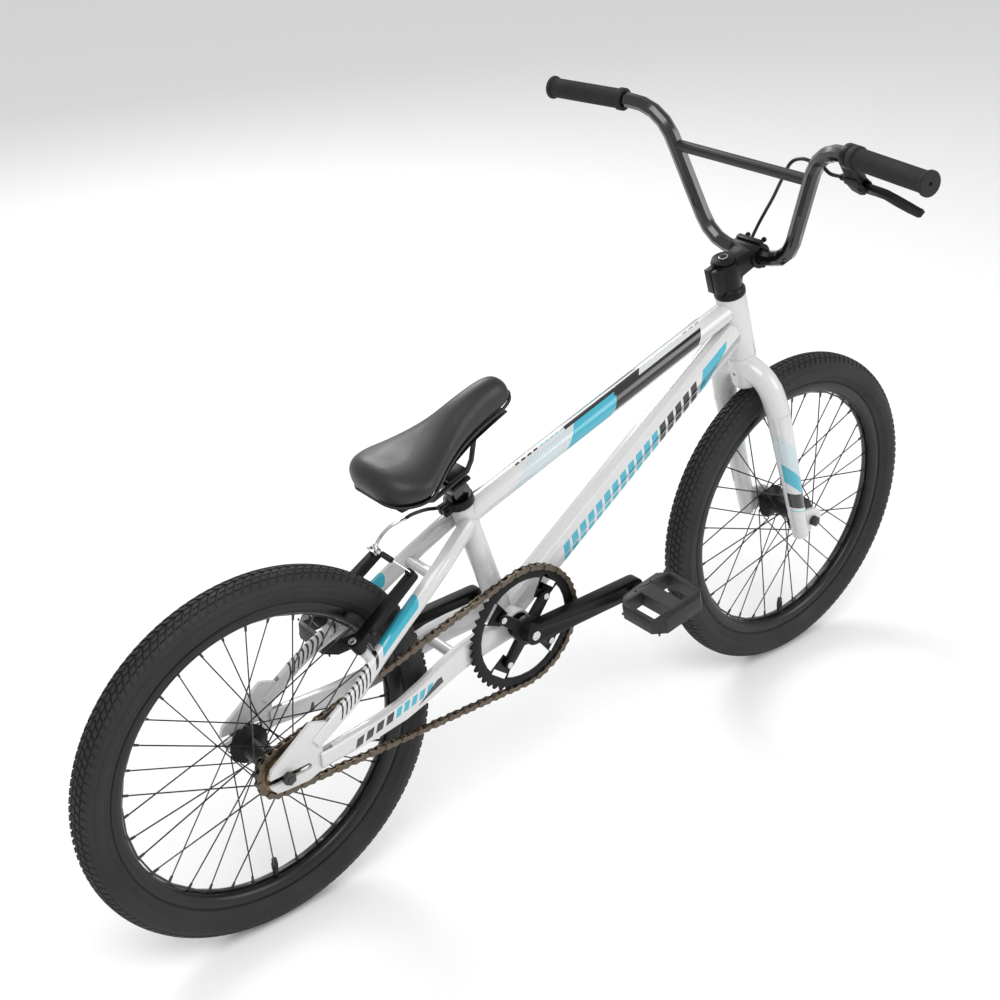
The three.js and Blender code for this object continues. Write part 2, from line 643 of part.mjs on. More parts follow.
function stem() {
  const middle = (stemBottom + stemTop) / 2;
  const steererClamp = uprightRod(0, 0, stemBottom, stemTop, STEERER_RADIUS + 5, 24);
  const ears = block(v(-STEERER_RADIUS - 7, 0, middle), 14, 24, STEM_CLAMP_HEIGHT - 4);
  const slit = block(v(-STEERER_RADIUS - 6, 0, middle), 20, 2.4, STEM_CLAMP_HEIGHT + 2);
  const neck = beam(v(4, 0, middle + 2), v(STEM_REACH - 6, 0, clampHeight), [34, 32], [40, 30]);
  const barClamp = crossRod(STEM_REACH, clampHeight, -STEM_WIDTH / 2, STEM_WIDTH / 2, barClampRadius);
  const split = block(v(STEM_REACH + 20 - GAP, 0, clampHeight), 40, STEM_WIDTH + 2, 60);
  const bore = uprightRod(0, 0, 0, stemTop + 20, STEERER_RADIUS + GAP, 24);
  const capRoom = uprightRod(0, 0, stemTop, stemTop + 20, STEERER_RADIUS + 6, 24);
  return joined([steererClamp, neck, barClamp, ears])
    .subtract(capRoom)
    .subtract(split)
    .subtract(slit)
    .subtract(bore)
    .subtract(barRoom);
}

function stemFaceplate() {
  const plateBody = crossRod(STEM_REACH, clampHeight, -STEM_WIDTH / 2, STEM_WIDTH / 2, barClampRadius);
  const lugs = block(v(STEM_REACH + 5, 0, clampHeight), 8, STEM_WIDTH - 2, 2 * barClampRadius + 6);
  const rearHalf = block(v(STEM_REACH - 19, 0, clampHeight), 40, STEM_WIDTH + 2, 60);
  return joined([plateBody, lugs]).subtract(rearHalf).subtract(barRoom);
}

const stemCap = joined([
  uprightRod(0, 0, stemTop + GAP, stemTop + 5, STEERER_RADIUS + 3, 24),
  uprightRod(0, 0, stemTop + 4, stemTop + 8, 5.5, 12),
]);

// The bar's bends, from its middle out to the left end.
const barForward = 16.8;
const barEnd = v(STEM_REACH + barForward - BAR_SWEEP, BAR_HALF_WIDTH, clampHeight + BAR_RISE);
const barBends = [
  v(STEM_REACH, 69.8, clampHeight),
  v(STEM_REACH + barForward, 145, clampHeight + BAR_RISE - 6.8),
];

const upperBend = 50;

function handlebar(extra = 0) {
  const left = [...barBends, barEnd];
  const right = left.map(across).reverse();
  const path = bendPath([...right, ...left], [upperBend, 42, 42, upperBend]);
  return swept(path, BAR_RADIUS + extra, 10, 44);
}

const crossbarShare = 0.72;
const crossbarEnd = barBends[0].clone().lerp(barBends[1], crossbarShare);

// The right end of the handlebar as a line from the upper bend, for what is clamped to it.
const barStraight = barBends[1].distanceTo(barEnd);
const gripStart = (side) => {
  const start = barBends[1].clone().lerp(barEnd, 1 - GRIP_LENGTH / barStraight);
  return side > 0 ? start : across(start);
};
const gripEnd = (side) => (side > 0 ? barEnd : across(barEnd));

const GRIP_SIDES = 14;
const barBore = (BAR_RADIUS + GAP) / Math.cos(Math.PI / GRIP_SIDES);

function grip(side) {
  const inner = gripStart(side);
  const outer = gripEnd(side);
  const direction = outer.clone().sub(inner).normalize();
  const past = outer.clone().addScaledVector(direction, 4);
  const at = (distance) => inner.clone().addScaledVector(direction, distance);
  const sleeve = (from, to, radius) => rod(from, to, radius, radius, GRIP_SIDES);
  const body = joined([
    sleeve(inner, past, GRIP_RADIUS),
    sleeve(inner, at(9), GRIP_RADIUS + 2),
    sleeve(at(GRIP_LENGTH - 3), past, GRIP_RADIUS + 2.5),
  ]);
  const endRoom = outer.clone().addScaledVector(direction, GAP);
  const bore = sleeve(at(-5), endRoom, barBore);
  return body.subtract(bore).subtract(rod(at(GRIP_LENGTH - 1), at(GRIP_LENGTH + 10), 2.5, 2.5, 8));
}

addPart(steering, "fork", fork(), "whitePaint");
addPart(steering, "headset_cover", coverRing, "blackMetal");
addPart(steering, "stem", stem(), "blackMetal");
addPart(steering, "stem_faceplate", stemFaceplate(), "blackMetal");
addPart(steering, "stem_cap", stemCap, "blackMetal");
const bar = handlebar();
const crossbar = rod(crossbarEnd, across(crossbarEnd), CROSSBAR_RADIUS, CROSSBAR_RADIUS, 16);
addPart(steering, "handlebar", bar, "blackMetal");
addPart(
  steering,
  "handlebar_crossbar",
  crossbar.subtract(bar.translate(0, -GAP, 0)).subtract(bar.translate(0, GAP, 0)).subtract(
    block(v(STEM_REACH, crossbarEnd.y + 20, crossbarEnd.z), 60, 40, 60).add(
      block(v(STEM_REACH, -crossbarEnd.y - 20, crossbarEnd.z), 60, 40, 60),
    ),
  ),
  "blackMetal",
);
addPart(steering, "grip_left", grip(1), "rubber");
addPart(steering, "grip_right", grip(-1), "rubber");

// ---- Wheels, each in a frame on its own axle ----

// The tyre and its tube are one ring whose beads sit between the rim's flanges.
function tyre() {
  const bead = RIM_WIDTH / 2 - RIM_WALL - 2 * GAP;
  const lip = RIM_SEAT_RADIUS + RIM_FLANGE_HEIGHT + 1;
  const section = TYRE_RADIUS - lip;
  const bulge = [[0.12, 0.76], [0.4, 1], [0.72, 0.88], [0.9, 0.58], [0.975, 0.27]];
  const side = [
    [RIM_SEAT_RADIUS + GAP, bead],
    [lip, bead],
    ...bulge.map(([height, width]) => [lip + height * section, (width * TYRE_WIDTH) / 2]),
  ];
  const right = side.map(([radius, y]) => [radius, -y]);
  const left = [...side].reverse();
  return turned([...right, [TYRE_RADIUS, 0], ...left, right[0]], WHEEL_SEGMENTS);
}

const spokeBed = RIM_SEAT_RADIUS - RIM_DEPTH;

function rim() {
  const half = RIM_WIDTH / 2;
  const top = RIM_SEAT_RADIUS + RIM_FLANGE_HEIGHT;
  const inner = half - RIM_WALL;
  return turned(
    [
      [spokeBed, -half * 0.55], [top - 10, -half], [top, -half], [top, -inner],
      [RIM_SEAT_RADIUS, -inner], [RIM_SEAT_RADIUS, inner], [top, inner], [top, half],
      [top - 10, half], [spokeBed, half * 0.55], [spokeBed, -half * 0.55],
    ],
    WHEEL_SEGMENTS,
  );
}

const FLANGE_HALF = 1.5;

// A hub shell. The rear one has a seat on its right end for the freewheel.
function hub(width, driveSeat) {
  const end = width / 2 - RUNNING_GAP;
  const bore = AXLE_RADIUS + RUNNING_GAP;
  const outside = FLANGE_OFFSET + FLANGE_HALF;
  const seatEnd = width / 2 - 3;
  const right = driveSeat
    ? [[bore, -end], [9, -end], [9, -seatEnd], [HUB_BODY_RADIUS, -seatEnd], [HUB_BODY_RADIUS, -outside]]
    : [[bore, -end], [8, -end], [11, -outside - 3]];
  return turned(
    [
      ...right,
      [FLANGE_RADIUS, -outside], [FLANGE_RADIUS, -outside + 2 * FLANGE_HALF],
      [HUB_BODY_RADIUS - 2, -outside + 9], [HUB_BODY_RADIUS - 2, outside - 9],
      [FLANGE_RADIUS, outside - 2 * FLANGE_HALF], [FLANGE_RADIUS, outside],
      [11, outside + 3], [8, end], [bore, end], [bore, -end],
    ],
    16,
  );
}

// Each side's spokes lean forward and back in turn. Their nipples' ends meet in a thin ring
// that lies just inside the rim.
function spokes() {
  const start = FLANGE_RADIUS + SPOKE_RADIUS + GAP;
  const ring = washer(spokeBed - 3, spokeBed - GAP, -2, 2, WHEEL_SEGMENTS);
  const on = (angle, radius, y) => v(radius * Math.cos(angle), y, radius * Math.sin(angle));
  const made = [ring];
  for (const side of [1, -1]) {
    for (let k = 0; k < SPOKES_PER_SIDE; k++) {
      const hole = ((k + (side > 0 ? 0 : 0.5)) * 2 * Math.PI) / SPOKES_PER_SIDE;
      const way = k % 2 ? -1 : 1;
      const rimAngle = hole + way * radians(SPOKE_LEAN);
      const from = on(hole, start, side * (FLANGE_OFFSET + 1.2 * way));
      made.push(rod(from, on(rimAngle, spokeBed - 2, 0), SPOKE_RADIUS, SPOKE_RADIUS, 3));
    }
  }
  return joined(made);
}

// The axle with the nut on each end that holds it to its dropouts.
function axle(width) {
  const inner = width / 2 + DROPOUT_THICKNESS + GAP;
  const outer = inner + NUT_LENGTH;
  const nut = (from, to) => crossRod(0, 0, from, to, NUT_RADIUS, 6);
  const rodThrough = crossRod(0, 0, -outer - 2, outer + 2, AXLE_RADIUS, 12);
  return joined([rodThrough, nut(inner, outer), nut(-outer, -inner)]);
}

function toothed(teeth, middle) {
  const root = pitchRadius(teeth) - 4;
  const tip = pitchRadius(teeth) + 2.6;
  const outline = [];
  for (let i = 0; i < teeth; i++) {
    const at = (share, radius) => {
      const angle = ((i + share) * 2 * Math.PI) / teeth;
      outline.push([radius * Math.cos(angle), radius * Math.sin(angle)]);
    };
    at(0, root);
    at(0.42, tip);
    at(0.58, tip);
  }
  const half = TOOTH_THICKNESS / 2;
  return plate(outline, middle - half, middle + half);
}

const freewheelRadius = 24;
const freewheel = toothed(FREEWHEEL_TEETH, -CHAIN_LINE)
  .add(crossRod(0, 0, -REAR_HUB_WIDTH / 2 + 3.5, -CHAIN_LINE + 6.5, freewheelRadius, 20))
  .subtract(crossRod(0, 0, -REAR_HUB_WIDTH, 0, (HUB_BODY_RADIUS + GAP) / Math.cos(Math.PI / 20), 20));

const rearWheel = new THREE.Group();
rearWheel.position.copy(rearAxle);
addPart(rearWheel, "rear_tyre", tyre(), "rubber");
addPart(rearWheel, "rear_rim", rim(), "blackMetal");
addPart(rearWheel, "rear_hub", hub(REAR_HUB_WIDTH, true), "blackMetal");
addPart(rearWheel, "rear_spokes", spokes(), "blackMetal");
addPart(rearWheel, "rear_axle", axle(REAR_HUB_WIDTH), "blackMetal");
addPart(rearWheel, "freewheel", freewheel, "chainSteel");

const frontWheel = new THREE.Group();
frontWheel.position.set(FORK_OFFSET, 0, 0);
frontWheel.rotation.y = -steeringTurn;
addPart(frontWheel, "front_tyre", tyre(), "rubber");
addPart(frontWheel, "front_rim", rim(), "blackMetal");
addPart(frontWheel, "front_hub", hub(FRONT_HUB_WIDTH, false), "blackMetal");
addPart(frontWheel, "front_spokes", spokes(), "blackMetal");
addPart(frontWheel, "front_axle", axle(FRONT_HUB_WIDTH), "blackMetal");
steering.add(frontWheel);

// ---- Cranks, chainring and pedals, in a frame on the crank axis ----
const SPIDER_THICKNESS = 7.4;
const SPIDER_TURN = radians(51);
const ringOuterFace = CHAIN_LINE + TOOTH_THICKNESS / 2;
const armInnerFace = ringOuterFace + GAP + SPIDER_THICKNESS;
const pedalThread = 7;
const turnedBy = (made, angle) => made.rotate([0, -THREE.MathUtils.radToDeg(angle), 0]);

// The outline of a strap in the XZ plane from a round end on the origin to one at x.
function strap(x, radius, endRadius, sides = 8) {
  const outline = [];
  for (let i = 0; i <= sides; i++) {
    const angle = Math.PI / 2 + (Math.PI * i) / sides;
    outline.push([radius * Math.cos(angle), radius * Math.sin(angle)]);
  }
  for (let i = 0; i <= sides; i++) {
    const angle = -Math.PI / 2 + (Math.PI * i) / sides;
    outline.push([x + endRadius * Math.cos(angle), endRadius * Math.sin(angle)]);
  }
  return outline;
}

const spindleRadius = 7.5;
const spindleRoom = crossRod(0, 0, -100, 100, spindleRadius + GAP, 12);
const pedalRoom = (x) => crossRod(x, 0, -100, 100, pedalThread + GAP, 12);

// An arm on the bike's right that reaches forward.
function crankArm() {
  const half = CRANK_HEIGHT / 2;
  return plate(strap(CRANK_LENGTH, half + 3, half + 2.5), -CRANK_OUTER_FACE, -armInnerFace)
    .subtract(pedalRoom(CRANK_LENGTH));
}

// The four arms that carry the chainring are forged in one piece with the right crank arm.
function spider() {
  const hubDisc = crossRod(0, 0, -armInnerFace - 1, -ringOuterFace - GAP, 21, 20);
  const limb = plate(strap(SPIDER_RADIUS, 9, 7, 4), -armInnerFace, -ringOuterFace - GAP);
  const limbs = [0, 1, 2, 3].map((k) => turnedBy(limb, SPIDER_TURN + (k * Math.PI) / 2));
  return joined([hubDisc, ...limbs]);
}

// The chainring has a tab behind each spider arm, a slot in each tab and a window between tabs.
function chainring() {
  const hole = SPIDER_RADIUS - 7;
  const windowEdge = pitchRadius(RING_TEETH) - 15.5;
  const wedge = plate([[0, 0], [100, -62], [100, 62]], -3, 3);
  const window = washer(hole - 1, windowEdge, -2.5, 2.5, 32).intersect(wedge);
  const slot = block(v(windowEdge - 3.5, 0, 0), 8, 6, 30);
  const cuts = [0, 1, 2, 3].flatMap((k) => {
    const tab = SPIDER_TURN + (k * Math.PI) / 2;
    return [turnedBy(slot, tab), turnedBy(window, tab + Math.PI / 4)];
  });
  return toothed(RING_TEETH, 0)
    .subtract(joined([crossRod(0, 0, -4, 4, hole, 24), ...cuts]))
    .translate(0, -CHAIN_LINE, 0);
}

function pedalAxle() {
  const flange = CRANK_OUTER_FACE + GAP;
  return joined([
    crossRod(CRANK_LENGTH, 0, -pedalEnd + 6, -armInnerFace - 2, pedalThread - 1.5, 12),
    crossRod(CRANK_LENGTH, 0, -flange, -armInnerFace - 2, pedalThread, 12),
    crossRod(CRANK_LENGTH, 0, -pedalStart + 2, -flange, pedalThread + 2, 6),
  ]);
}

const PEDAL_TILT = 10; // degrees that the right pedal's front is up
const pedalStart = CRANK_OUTER_FACE + 9;
const pedalEnd = pedalStart + PEDAL_WIDTH;

// A platform pedal: a barrel round its axle inside a cage that is open above and below.
function pedalBody() {
  const middle = -(pedalStart + pedalEnd) / 2;
  const [halfX, halfY, cut] = [PEDAL_LENGTH / 2, PEDAL_WIDTH / 2, 16];
  const corner = (x, y) => [[x * halfX, y * (halfY - cut)], [x * (halfX - cut), y * halfY]];
  const outline = [
    ...corner(1, 1), ...corner(-1, 1).reverse(), ...corner(-1, -1), ...corner(1, -1).reverse(),
  ];
  const shape = new THREE.Shape(outline.map(([x, y]) => new THREE.Vector2(x, y)));
  const geometry = new THREE.ExtrudeGeometry(shape, { depth: PEDAL_THICKNESS, bevelEnabled: false });
  const cage = solid(geometry.translate(CRANK_LENGTH, middle, -PEDAL_THICKNESS / 2));
  const opening = (side) =>
    block(v(CRANK_LENGTH + side * (halfX + 4) / 2, middle, 0), halfX - 20, PEDAL_WIDTH - 30, 40);
  const boreRadius = pedalThread - 1.5 + RUNNING_GAP;
  const bore = crossRod(CRANK_LENGTH, 0, -pedalEnd + 5, -pedalStart + 5, boreRadius, 12);
  const mouth = crossRod(CRANK_LENGTH, 0, -pedalStart - 6, -pedalStart + 5, pedalThread + 3, 12);
  return cage.subtract(opening(1)).subtract(opening(-1)).subtract(bore).subtract(mouth);
}

// What is on the right, turned half way round the crank axis and to the left.
const opposite = (made) => made.rotate([0, 180, 0]).mirror([0, 1, 0]);

const cranks = new THREE.Group();
cranks.position.copy(crankAxis);
const cartridge = washer(
  spindleRadius + RUNNING_GAP, CARTRIDGE_RADIUS, -SHELL_WIDTH / 2 - 1, SHELL_WIDTH / 2 + 1, 20,
).add(washer(spindleRadius + RUNNING_GAP, SHELL_RADIUS - 1, SHELL_WIDTH / 2 + GAP, SHELL_WIDTH / 2 + 4, 20));
addPart(cranks, "bb_cartridge", cartridge, "blackMetal");
addPart(
  cranks,
  "crank_spindle",
  crossRod(0, 0, -CRANK_OUTER_FACE + 1, CRANK_OUTER_FACE - 1, spindleRadius, 12),
  "silver",
);
addPart(cranks, "crank_arm_right", crankArm().add(spider()).subtract(spindleRoom), "blackMetal");
addPart(cranks, "crank_arm_left", opposite(crankArm().subtract(spindleRoom)), "blackMetal");
addPart(cranks, "chainring", chainring(), "blackMetal");
addPart(cranks, "pedal_axle_right", pedalAxle(), "silver");
addPart(cranks, "pedal_axle_left", opposite(pedalAxle()), "silver");
const pedalRight = pedalBody()
  .translate(-CRANK_LENGTH, 0, 0)
  .rotate([0, -PEDAL_TILT, 0])
  .translate(CRANK_LENGTH, 0, 0);
addPart(cranks, "pedal_body_right", pedalRight, "plastic");
addPart(cranks, "pedal_body_left", opposite(pedalBody()), "plastic");

// ---- Chain: its inner and outer plates as two bands, joined outside the teeth ----

// The loop round both sprockets at a distance outside the pitch line.
function chainLoop(offset) {
  const front = pitchRadius(RING_TEETH) + offset;
  const rear = pitchRadius(FREEWHEEL_TEETH) + offset;
  const [dx, dz] = [crankAxis.x - rearAxle.x, crankAxis.z - rearAxle.z];
  const line = Math.atan2(dz, dx);
  const half = Math.PI / 2 + Math.asin((front - rear) / Math.hypot(dx, dz));
  const points = [];
  const arc = (centre, radius, from, to, steps) => {
    const outer = radius / Math.cos((to - from) / (2 * steps));
    for (let i = 0; i < steps; i++) {
      const angle = THREE.MathUtils.lerp(from, to, (i + 0.5) / steps);
      points.push([centre.x + outer * Math.cos(angle), centre.z + outer * Math.sin(angle)]);
    }
  };
  arc(crankAxis, front, line - half, line + half, 22);
  arc(rearAxle, rear, line + half, line + 2 * Math.PI - half, 9);
  return points;
}

function chain() {
  const slot = TOOTH_THICKNESS / 2 + 0.6;
  const loop = (offset, half) => plate(chainLoop(offset), -CHAIN_LINE - half, -CHAIN_LINE + half);
  return loop(4.6, CHAIN_WIDTH / 2)
    .subtract(loop(-4.2, CHAIN_WIDTH))
    .subtract(loop(3.4, slot));
}

addPart(frame, "chain", chain(), "chainSteel");

// ---- Brake lever, in a frame on the right grip's inner end: X from the bar to the lever's
// pivot, Y to the left, and the blade moves in the XY plane ----
const LEVER_DROP = 72; // degrees below straight ahead that the lever points
const leverPlace = across(barBends[1].clone().lerp(barEnd, 0.21));
const leverMatrix = new THREE.Matrix4().makeRotationY(radians(LEVER_DROP)).setPosition(leverPlace);
const pivotX = 56;
const pivotY = -12;
const bladeHalf = 4.5;
const barrelEnd = 20;

function slab(outline, fromZ, toZ) {
  const shape = new THREE.Shape(outline.map(([x, y]) => new THREE.Vector2(x, y)));
  const geometry = new THREE.ExtrudeGeometry(shape, { depth: toZ - fromZ, bevelEnabled: false });
  return solid(geometry.translate(0, 0, fromZ));
}

function leverBracket() {
  const cheekOutside = bladeHalf + GAP + 3;
  const clampRadius = BAR_RADIUS + 5;
  const barWay = across(barEnd.clone().sub(barBends[1]).normalize());
  const onBar = (distance) => across(barBends[1]).addScaledVector(barWay, distance);
  const ringEnd = barStraight - GRIP_LENGTH - GAP;
  const ring = rod(onBar(upperBend + 1), onBar(ringEnd), clampRadius, clampRadius, 16);
  const neck = block(v(25, -6, 0), 40, 24, 12);
  const root = block(v(44, -2, 0), 12, 24, 2 * cheekOutside);
  const cheek = [[44, -14], [54, -22], [62, -19], [65, -10], [60, 2], [44, 10]];
  const fork = slab(cheek, -cheekOutside, cheekOutside).subtract(
    block(v(60, -8, 0), 31, 50, 2 * (bladeHalf + GAP)),
  );
  const pin = uprightRod(pivotX, pivotY, -cheekOutside - 1, cheekOutside + 1, 3, 10);
  return moved(joined([neck, root, fork, pin]), leverMatrix).add(ring).subtract(handlebar(2 * GAP));
}

function leverBlade() {
  const outline = [
    [63, -12], [63.5, -32], [65, -45], [72.5, -59], [79.5, -76], [84, -91], [81, -97], [76, -96],
    [74, -90], [69, -80], [61.5, -64], [55.5, -49], [53.4, -32], [52, -16], [52, -8], [56, -5], [61, -7],
  ];
  return slab(outline, -bladeHalf, bladeHalf).subtract(
    uprightRod(pivotX, pivotY, -9, 9, 3 + GAP, 10),
  );
}

const barrel = crossRod(48, 0, 10 + GAP, barrelEnd, 4.5, 12);

addPart(steering, "lever_bracket", leverBracket(), "blackMetal");
addPart(steering, "brake_lever", moved(leverBlade(), leverMatrix), "blackMetal");
addPart(steering, "barrel_adjuster", moved(barrel, leverMatrix), "blackMetal");

// ---- Rear brake, in the brake frame ----
const ARM_THICKNESS = 11;
const armBottom = BRAKE_PLANE - 4;
const armTop = armBottom + ARM_THICKNESS;
const padX = BOSS_RADIUS_FROM_AXLE + 24;
const padHeight = BRAKE_PLANE + 0.5;
const padFace = RIM_WIDTH / 2 + 2;
const PAD_THICKNESS = 7.5;
const PAD_LENGTH = 52;
const linkX = BOSS_RADIUS_FROM_AXLE + BRAKE_ARM_LENGTH + 2;
const wireHeight = armTop + 6;

// The left arm. It swings on its boss and carries its pad's stud.
function brakeArm() {
  const lean = 2.6;
  const arm = slab(strap(BRAKE_ARM_LENGTH + 2, 9, 6, 6), armBottom, armTop)
    .add(uprightRod(0, 0, BRAKE_PLANE - 9 + GAP, armTop + 2, 9, 16))
    .rotate([0, 0, -lean])
    .translate(BOSS_RADIUS_FROM_AXLE, BOSS_SPREAD, 0);
  return arm
    .subtract(uprightRod(BOSS_RADIUS_FROM_AXLE, BOSS_SPREAD, 0, 60, 4 + GAP, 12))
    .subtract(crossRod(padX, padHeight, 20, 70, 3 + GAP, 10));
}

function brakePad() {
  const turn = THREE.MathUtils.radToDeg(Math.atan2(padHeight, padX));
  const shoe = block(v(0, 0, 0), 11, PAD_THICKNESS, PAD_LENGTH)
    .rotate([0, -turn, 0])
    .translate(padX, padFace + PAD_THICKNESS / 2, padHeight - 2.5);
  return shoe.add(crossRod(padX, padHeight, padFace + 4, BOSS_SPREAD + 11, 3, 10));
}

const anchor = uprightRod(linkX, -BOSS_SPREAD + 5, armTop - 2, wireHeight - WIRE_RADIUS - GAP, 5, 12);
const inBrake = (made) => moved(made, brakeMatrix);
addPart(frame, "brake_arm_left", inBrake(brakeArm()), "blackMetal");
addPart(frame, "brake_arm_right", inBrake(mirroredY(brakeArm()).add(anchor)), "blackMetal");
addPart(frame, "brake_pad_left", inBrake(brakePad()), "rubber");
addPart(frame, "brake_pad_right", inBrake(mirroredY(brakePad())), "rubber");

// The noodle, a bent tube that turns the housing down into the holder on the left arm.
const noodlePoints = [
  [linkX, 18, wireHeight], [linkX, 30, wireHeight], [linkX + 8, 33, wireHeight + 4],
  [linkX + 31, 25, wireHeight + 13], [linkX + 53, 15, wireHeight + 11],
].map(([x, y, z]) => v(x, y, z));
const holder = block(v(linkX, 36, (armTop + GAP + wireHeight + 3) / 2), 10, 14, wireHeight + 3 - armTop - GAP);
const noodle = swept(smoothCurve(noodlePoints), HOUSING_RADIUS, 8, 9).add(holder);
const wire = crossRod(linkX, wireHeight, -BOSS_SPREAD, noodlePoints[0].y - GAP, WIRE_RADIUS, 6);
addPart(frame, "brake_noodle", inBrake(noodle), "silver");
addPart(frame, "brake_wire", inBrake(wire), "silver");

// The housing from the lever to the noodle: over the crossbar, down before the stem and the
// head tube in a loop that lets the bar turn, along the top tube's left side and past the seat
// tube.
const housingInSteering = [
  [76, -116, 612], [76, -97, 612], [77, -76, 600], [79, -52, 567], [81, -30, 535], [83, -6, 503],
  [82, 13, 475], [77, 28, 446], [62, 35, 410], [46, 33, 374], [37, 26, 343], [27, 27, 326],
  [8, 31, 326], [-12, 28, 347], [-30, 23, 378], [-44, 20, 396],
].map(([x, y, z]) => fromSteering(x, y, z));
const leverSide = [[48, barrelEnd + GAP, 0], [48, 38, 0], [44, 54, 5]].map(([x, y, z]) =>
  v(x, y, z).applyMatrix4(leverMatrix).applyMatrix4(steeringMatrix));
const sideOfTopTube = TOP_TUBE_RADIUS + HOUSING_RADIUS + 0.9;
const onTopTube = (share) => {
  const point = topTubeRear.clone().lerp(topTubeFront, share);
  return v(point.x, sideOfTopTube, point.z + 2);
};
const noodleEnd = noodlePoints[noodlePoints.length - 1];
const noodleWay = noodleEnd.clone().sub(noodlePoints[3]).normalize();
const pastNoodle = (distance) => {
  const point = noodleEnd.clone().addScaledVector(noodleWay, distance);
  return fromBrake(point.x, point.y, point.z);
};
const housingPath = [
  ...leverSide,
  ...housingInSteering,
  ...[0.82, 0.62, 0.42, 0.22, 0.1].map(onTopTube),
  v(seatPoint(SEAT_TUBE_LENGTH - 22).x - 4, sideOfTopTube + 0.4, seatPoint(SEAT_TUBE_LENGTH - 22).z),
  fromBrake(stayLength - 30, 16, 43),
  pastNoodle(9),
  pastNoodle(GAP),
];
addPart(frame, "brake_housing", swept(smoothCurve(housingPath), HOUSING_RADIUS, 8, 70), "plastic");

const bike = new THREE.Group();
bike.add(frame, seat, steering, rearWheel, cranks);
export default bike;
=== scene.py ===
import math

import bpy
from mathutils import Matrix, Vector


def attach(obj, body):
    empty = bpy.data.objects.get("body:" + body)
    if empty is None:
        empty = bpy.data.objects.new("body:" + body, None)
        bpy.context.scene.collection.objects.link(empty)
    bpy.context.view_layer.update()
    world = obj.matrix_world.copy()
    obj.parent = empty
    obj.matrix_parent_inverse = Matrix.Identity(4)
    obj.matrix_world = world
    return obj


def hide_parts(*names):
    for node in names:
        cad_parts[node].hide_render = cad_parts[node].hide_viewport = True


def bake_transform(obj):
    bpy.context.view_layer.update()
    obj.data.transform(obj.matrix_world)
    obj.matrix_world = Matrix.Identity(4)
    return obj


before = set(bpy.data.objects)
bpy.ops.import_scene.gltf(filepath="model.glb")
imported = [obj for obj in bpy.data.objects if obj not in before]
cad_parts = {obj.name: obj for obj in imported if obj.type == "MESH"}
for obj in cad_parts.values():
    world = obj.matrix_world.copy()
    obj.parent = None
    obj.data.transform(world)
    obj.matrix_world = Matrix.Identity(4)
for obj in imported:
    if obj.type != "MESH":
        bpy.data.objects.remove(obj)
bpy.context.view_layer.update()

MM = 0.001
FULL_TURN = 2 * math.pi

# Driving sizes of the bicycle, in metres.
REAR_AXLE = Vector((-0.479, 0, 0.252))
FRONT_AXLE = Vector((0.479, 0, 0.252))
CRANK_AXIS = Vector((-0.0924, 0, 0.294))
TYRE_RADIUS = 0.252
TYRE_HALF_WIDTH = 0.024
TREAD_HEIGHT = 0.0022
RIM_SEAT = 0.203
RIM_FLANGE = 0.209
RIM_INNER = 0.192
RIM_HALF_WIDTH = 0.014
SPOKES_A_SIDE = 18
CHAIN_PITCH = 0.0127
CHAIN_Y = -0.0458
CHAINRING_PITCH_RADIUS = 0.0890
FREEWHEEL_PITCH_RADIUS = 0.03255
HEAD_ANGLE = math.radians(74)
STEERER_FOOT = Vector((0.44824, 0, 0.24318))
TOP_TUBE_FOOT = Vector((-0.1477, 0, 0.4674))
TOP_TUBE_RISE = math.radians(17.9)
DOWN_TUBE_RISE = math.radians(34.4)
SEAT_STAY_RISE = math.radians(33.03)
CHAIN_STAY_FOOT = Vector((-0.404, 0, 0.2525))
CHAIN_STAY_RISE = math.radians(9)

CYAN = (0.035, 0.35, 0.46, 1)
PALE_CYAN = (0.24, 0.50, 0.57, 1)
INK = (0.004, 0.004, 0.005, 1)

# Noise scales, in features to a metre.
FINE_GRAIN = 1500.0
SLOW_PATCHES = 30.0
PEBBLE_SCALE = 750.0


# ---------------------------------------------------------------- node helpers


def add_node(tree, kind, values=None, **settings):
    """A new node with its settings made and its sockets set or linked."""
    node = tree.nodes.new(kind)
    for key, value in settings.items():
        setattr(node, key, value)
    for key, value in (values or {}).items():
        socket = node.inputs[key]
        if isinstance(value, bpy.types.NodeSocket):
            tree.links.new(value, socket)
        else:
            socket.default_value = value
    return node


def calc(tree, operation, a, b=0.0, clamp=False):
    """One Math node's result."""
    return add_node(tree, "ShaderNodeMath", {0: a, 1: b}, operation=operation, use_clamp=clamp).outputs[0]


def blend_colour(tree, mask, under, over):
    """The colour over lying on the colour under where the mask is 1."""
    node = add_node(tree, "ShaderNodeMix", {0: mask}, data_type="RGBA")
    for index, value in ((6, under), (7, over)):
        if isinstance(value, bpy.types.NodeSocket):
            tree.links.new(value, node.inputs[index])
        else:
            node.inputs[index].default_value = value
    return node.outputs[2]


def new_group(name, inputs, outputs):
    """An empty node group with float inputs and outputs."""
    tree = bpy.data.node_groups.new(name, "ShaderNodeTree")
    for title, kind, value in inputs:
        socket = tree.interface.new_socket(title, in_out="INPUT", socket_type=kind)
        if value is not None:
            socket.default_value = value
    for title, kind in outputs:
        tree.interface.new_socket(title, in_out="OUTPUT", socket_type=kind)
    start = tree.nodes.new("NodeGroupInput").outputs
    end = tree.nodes.new("NodeGroupOutput").inputs
    return tree, start, end


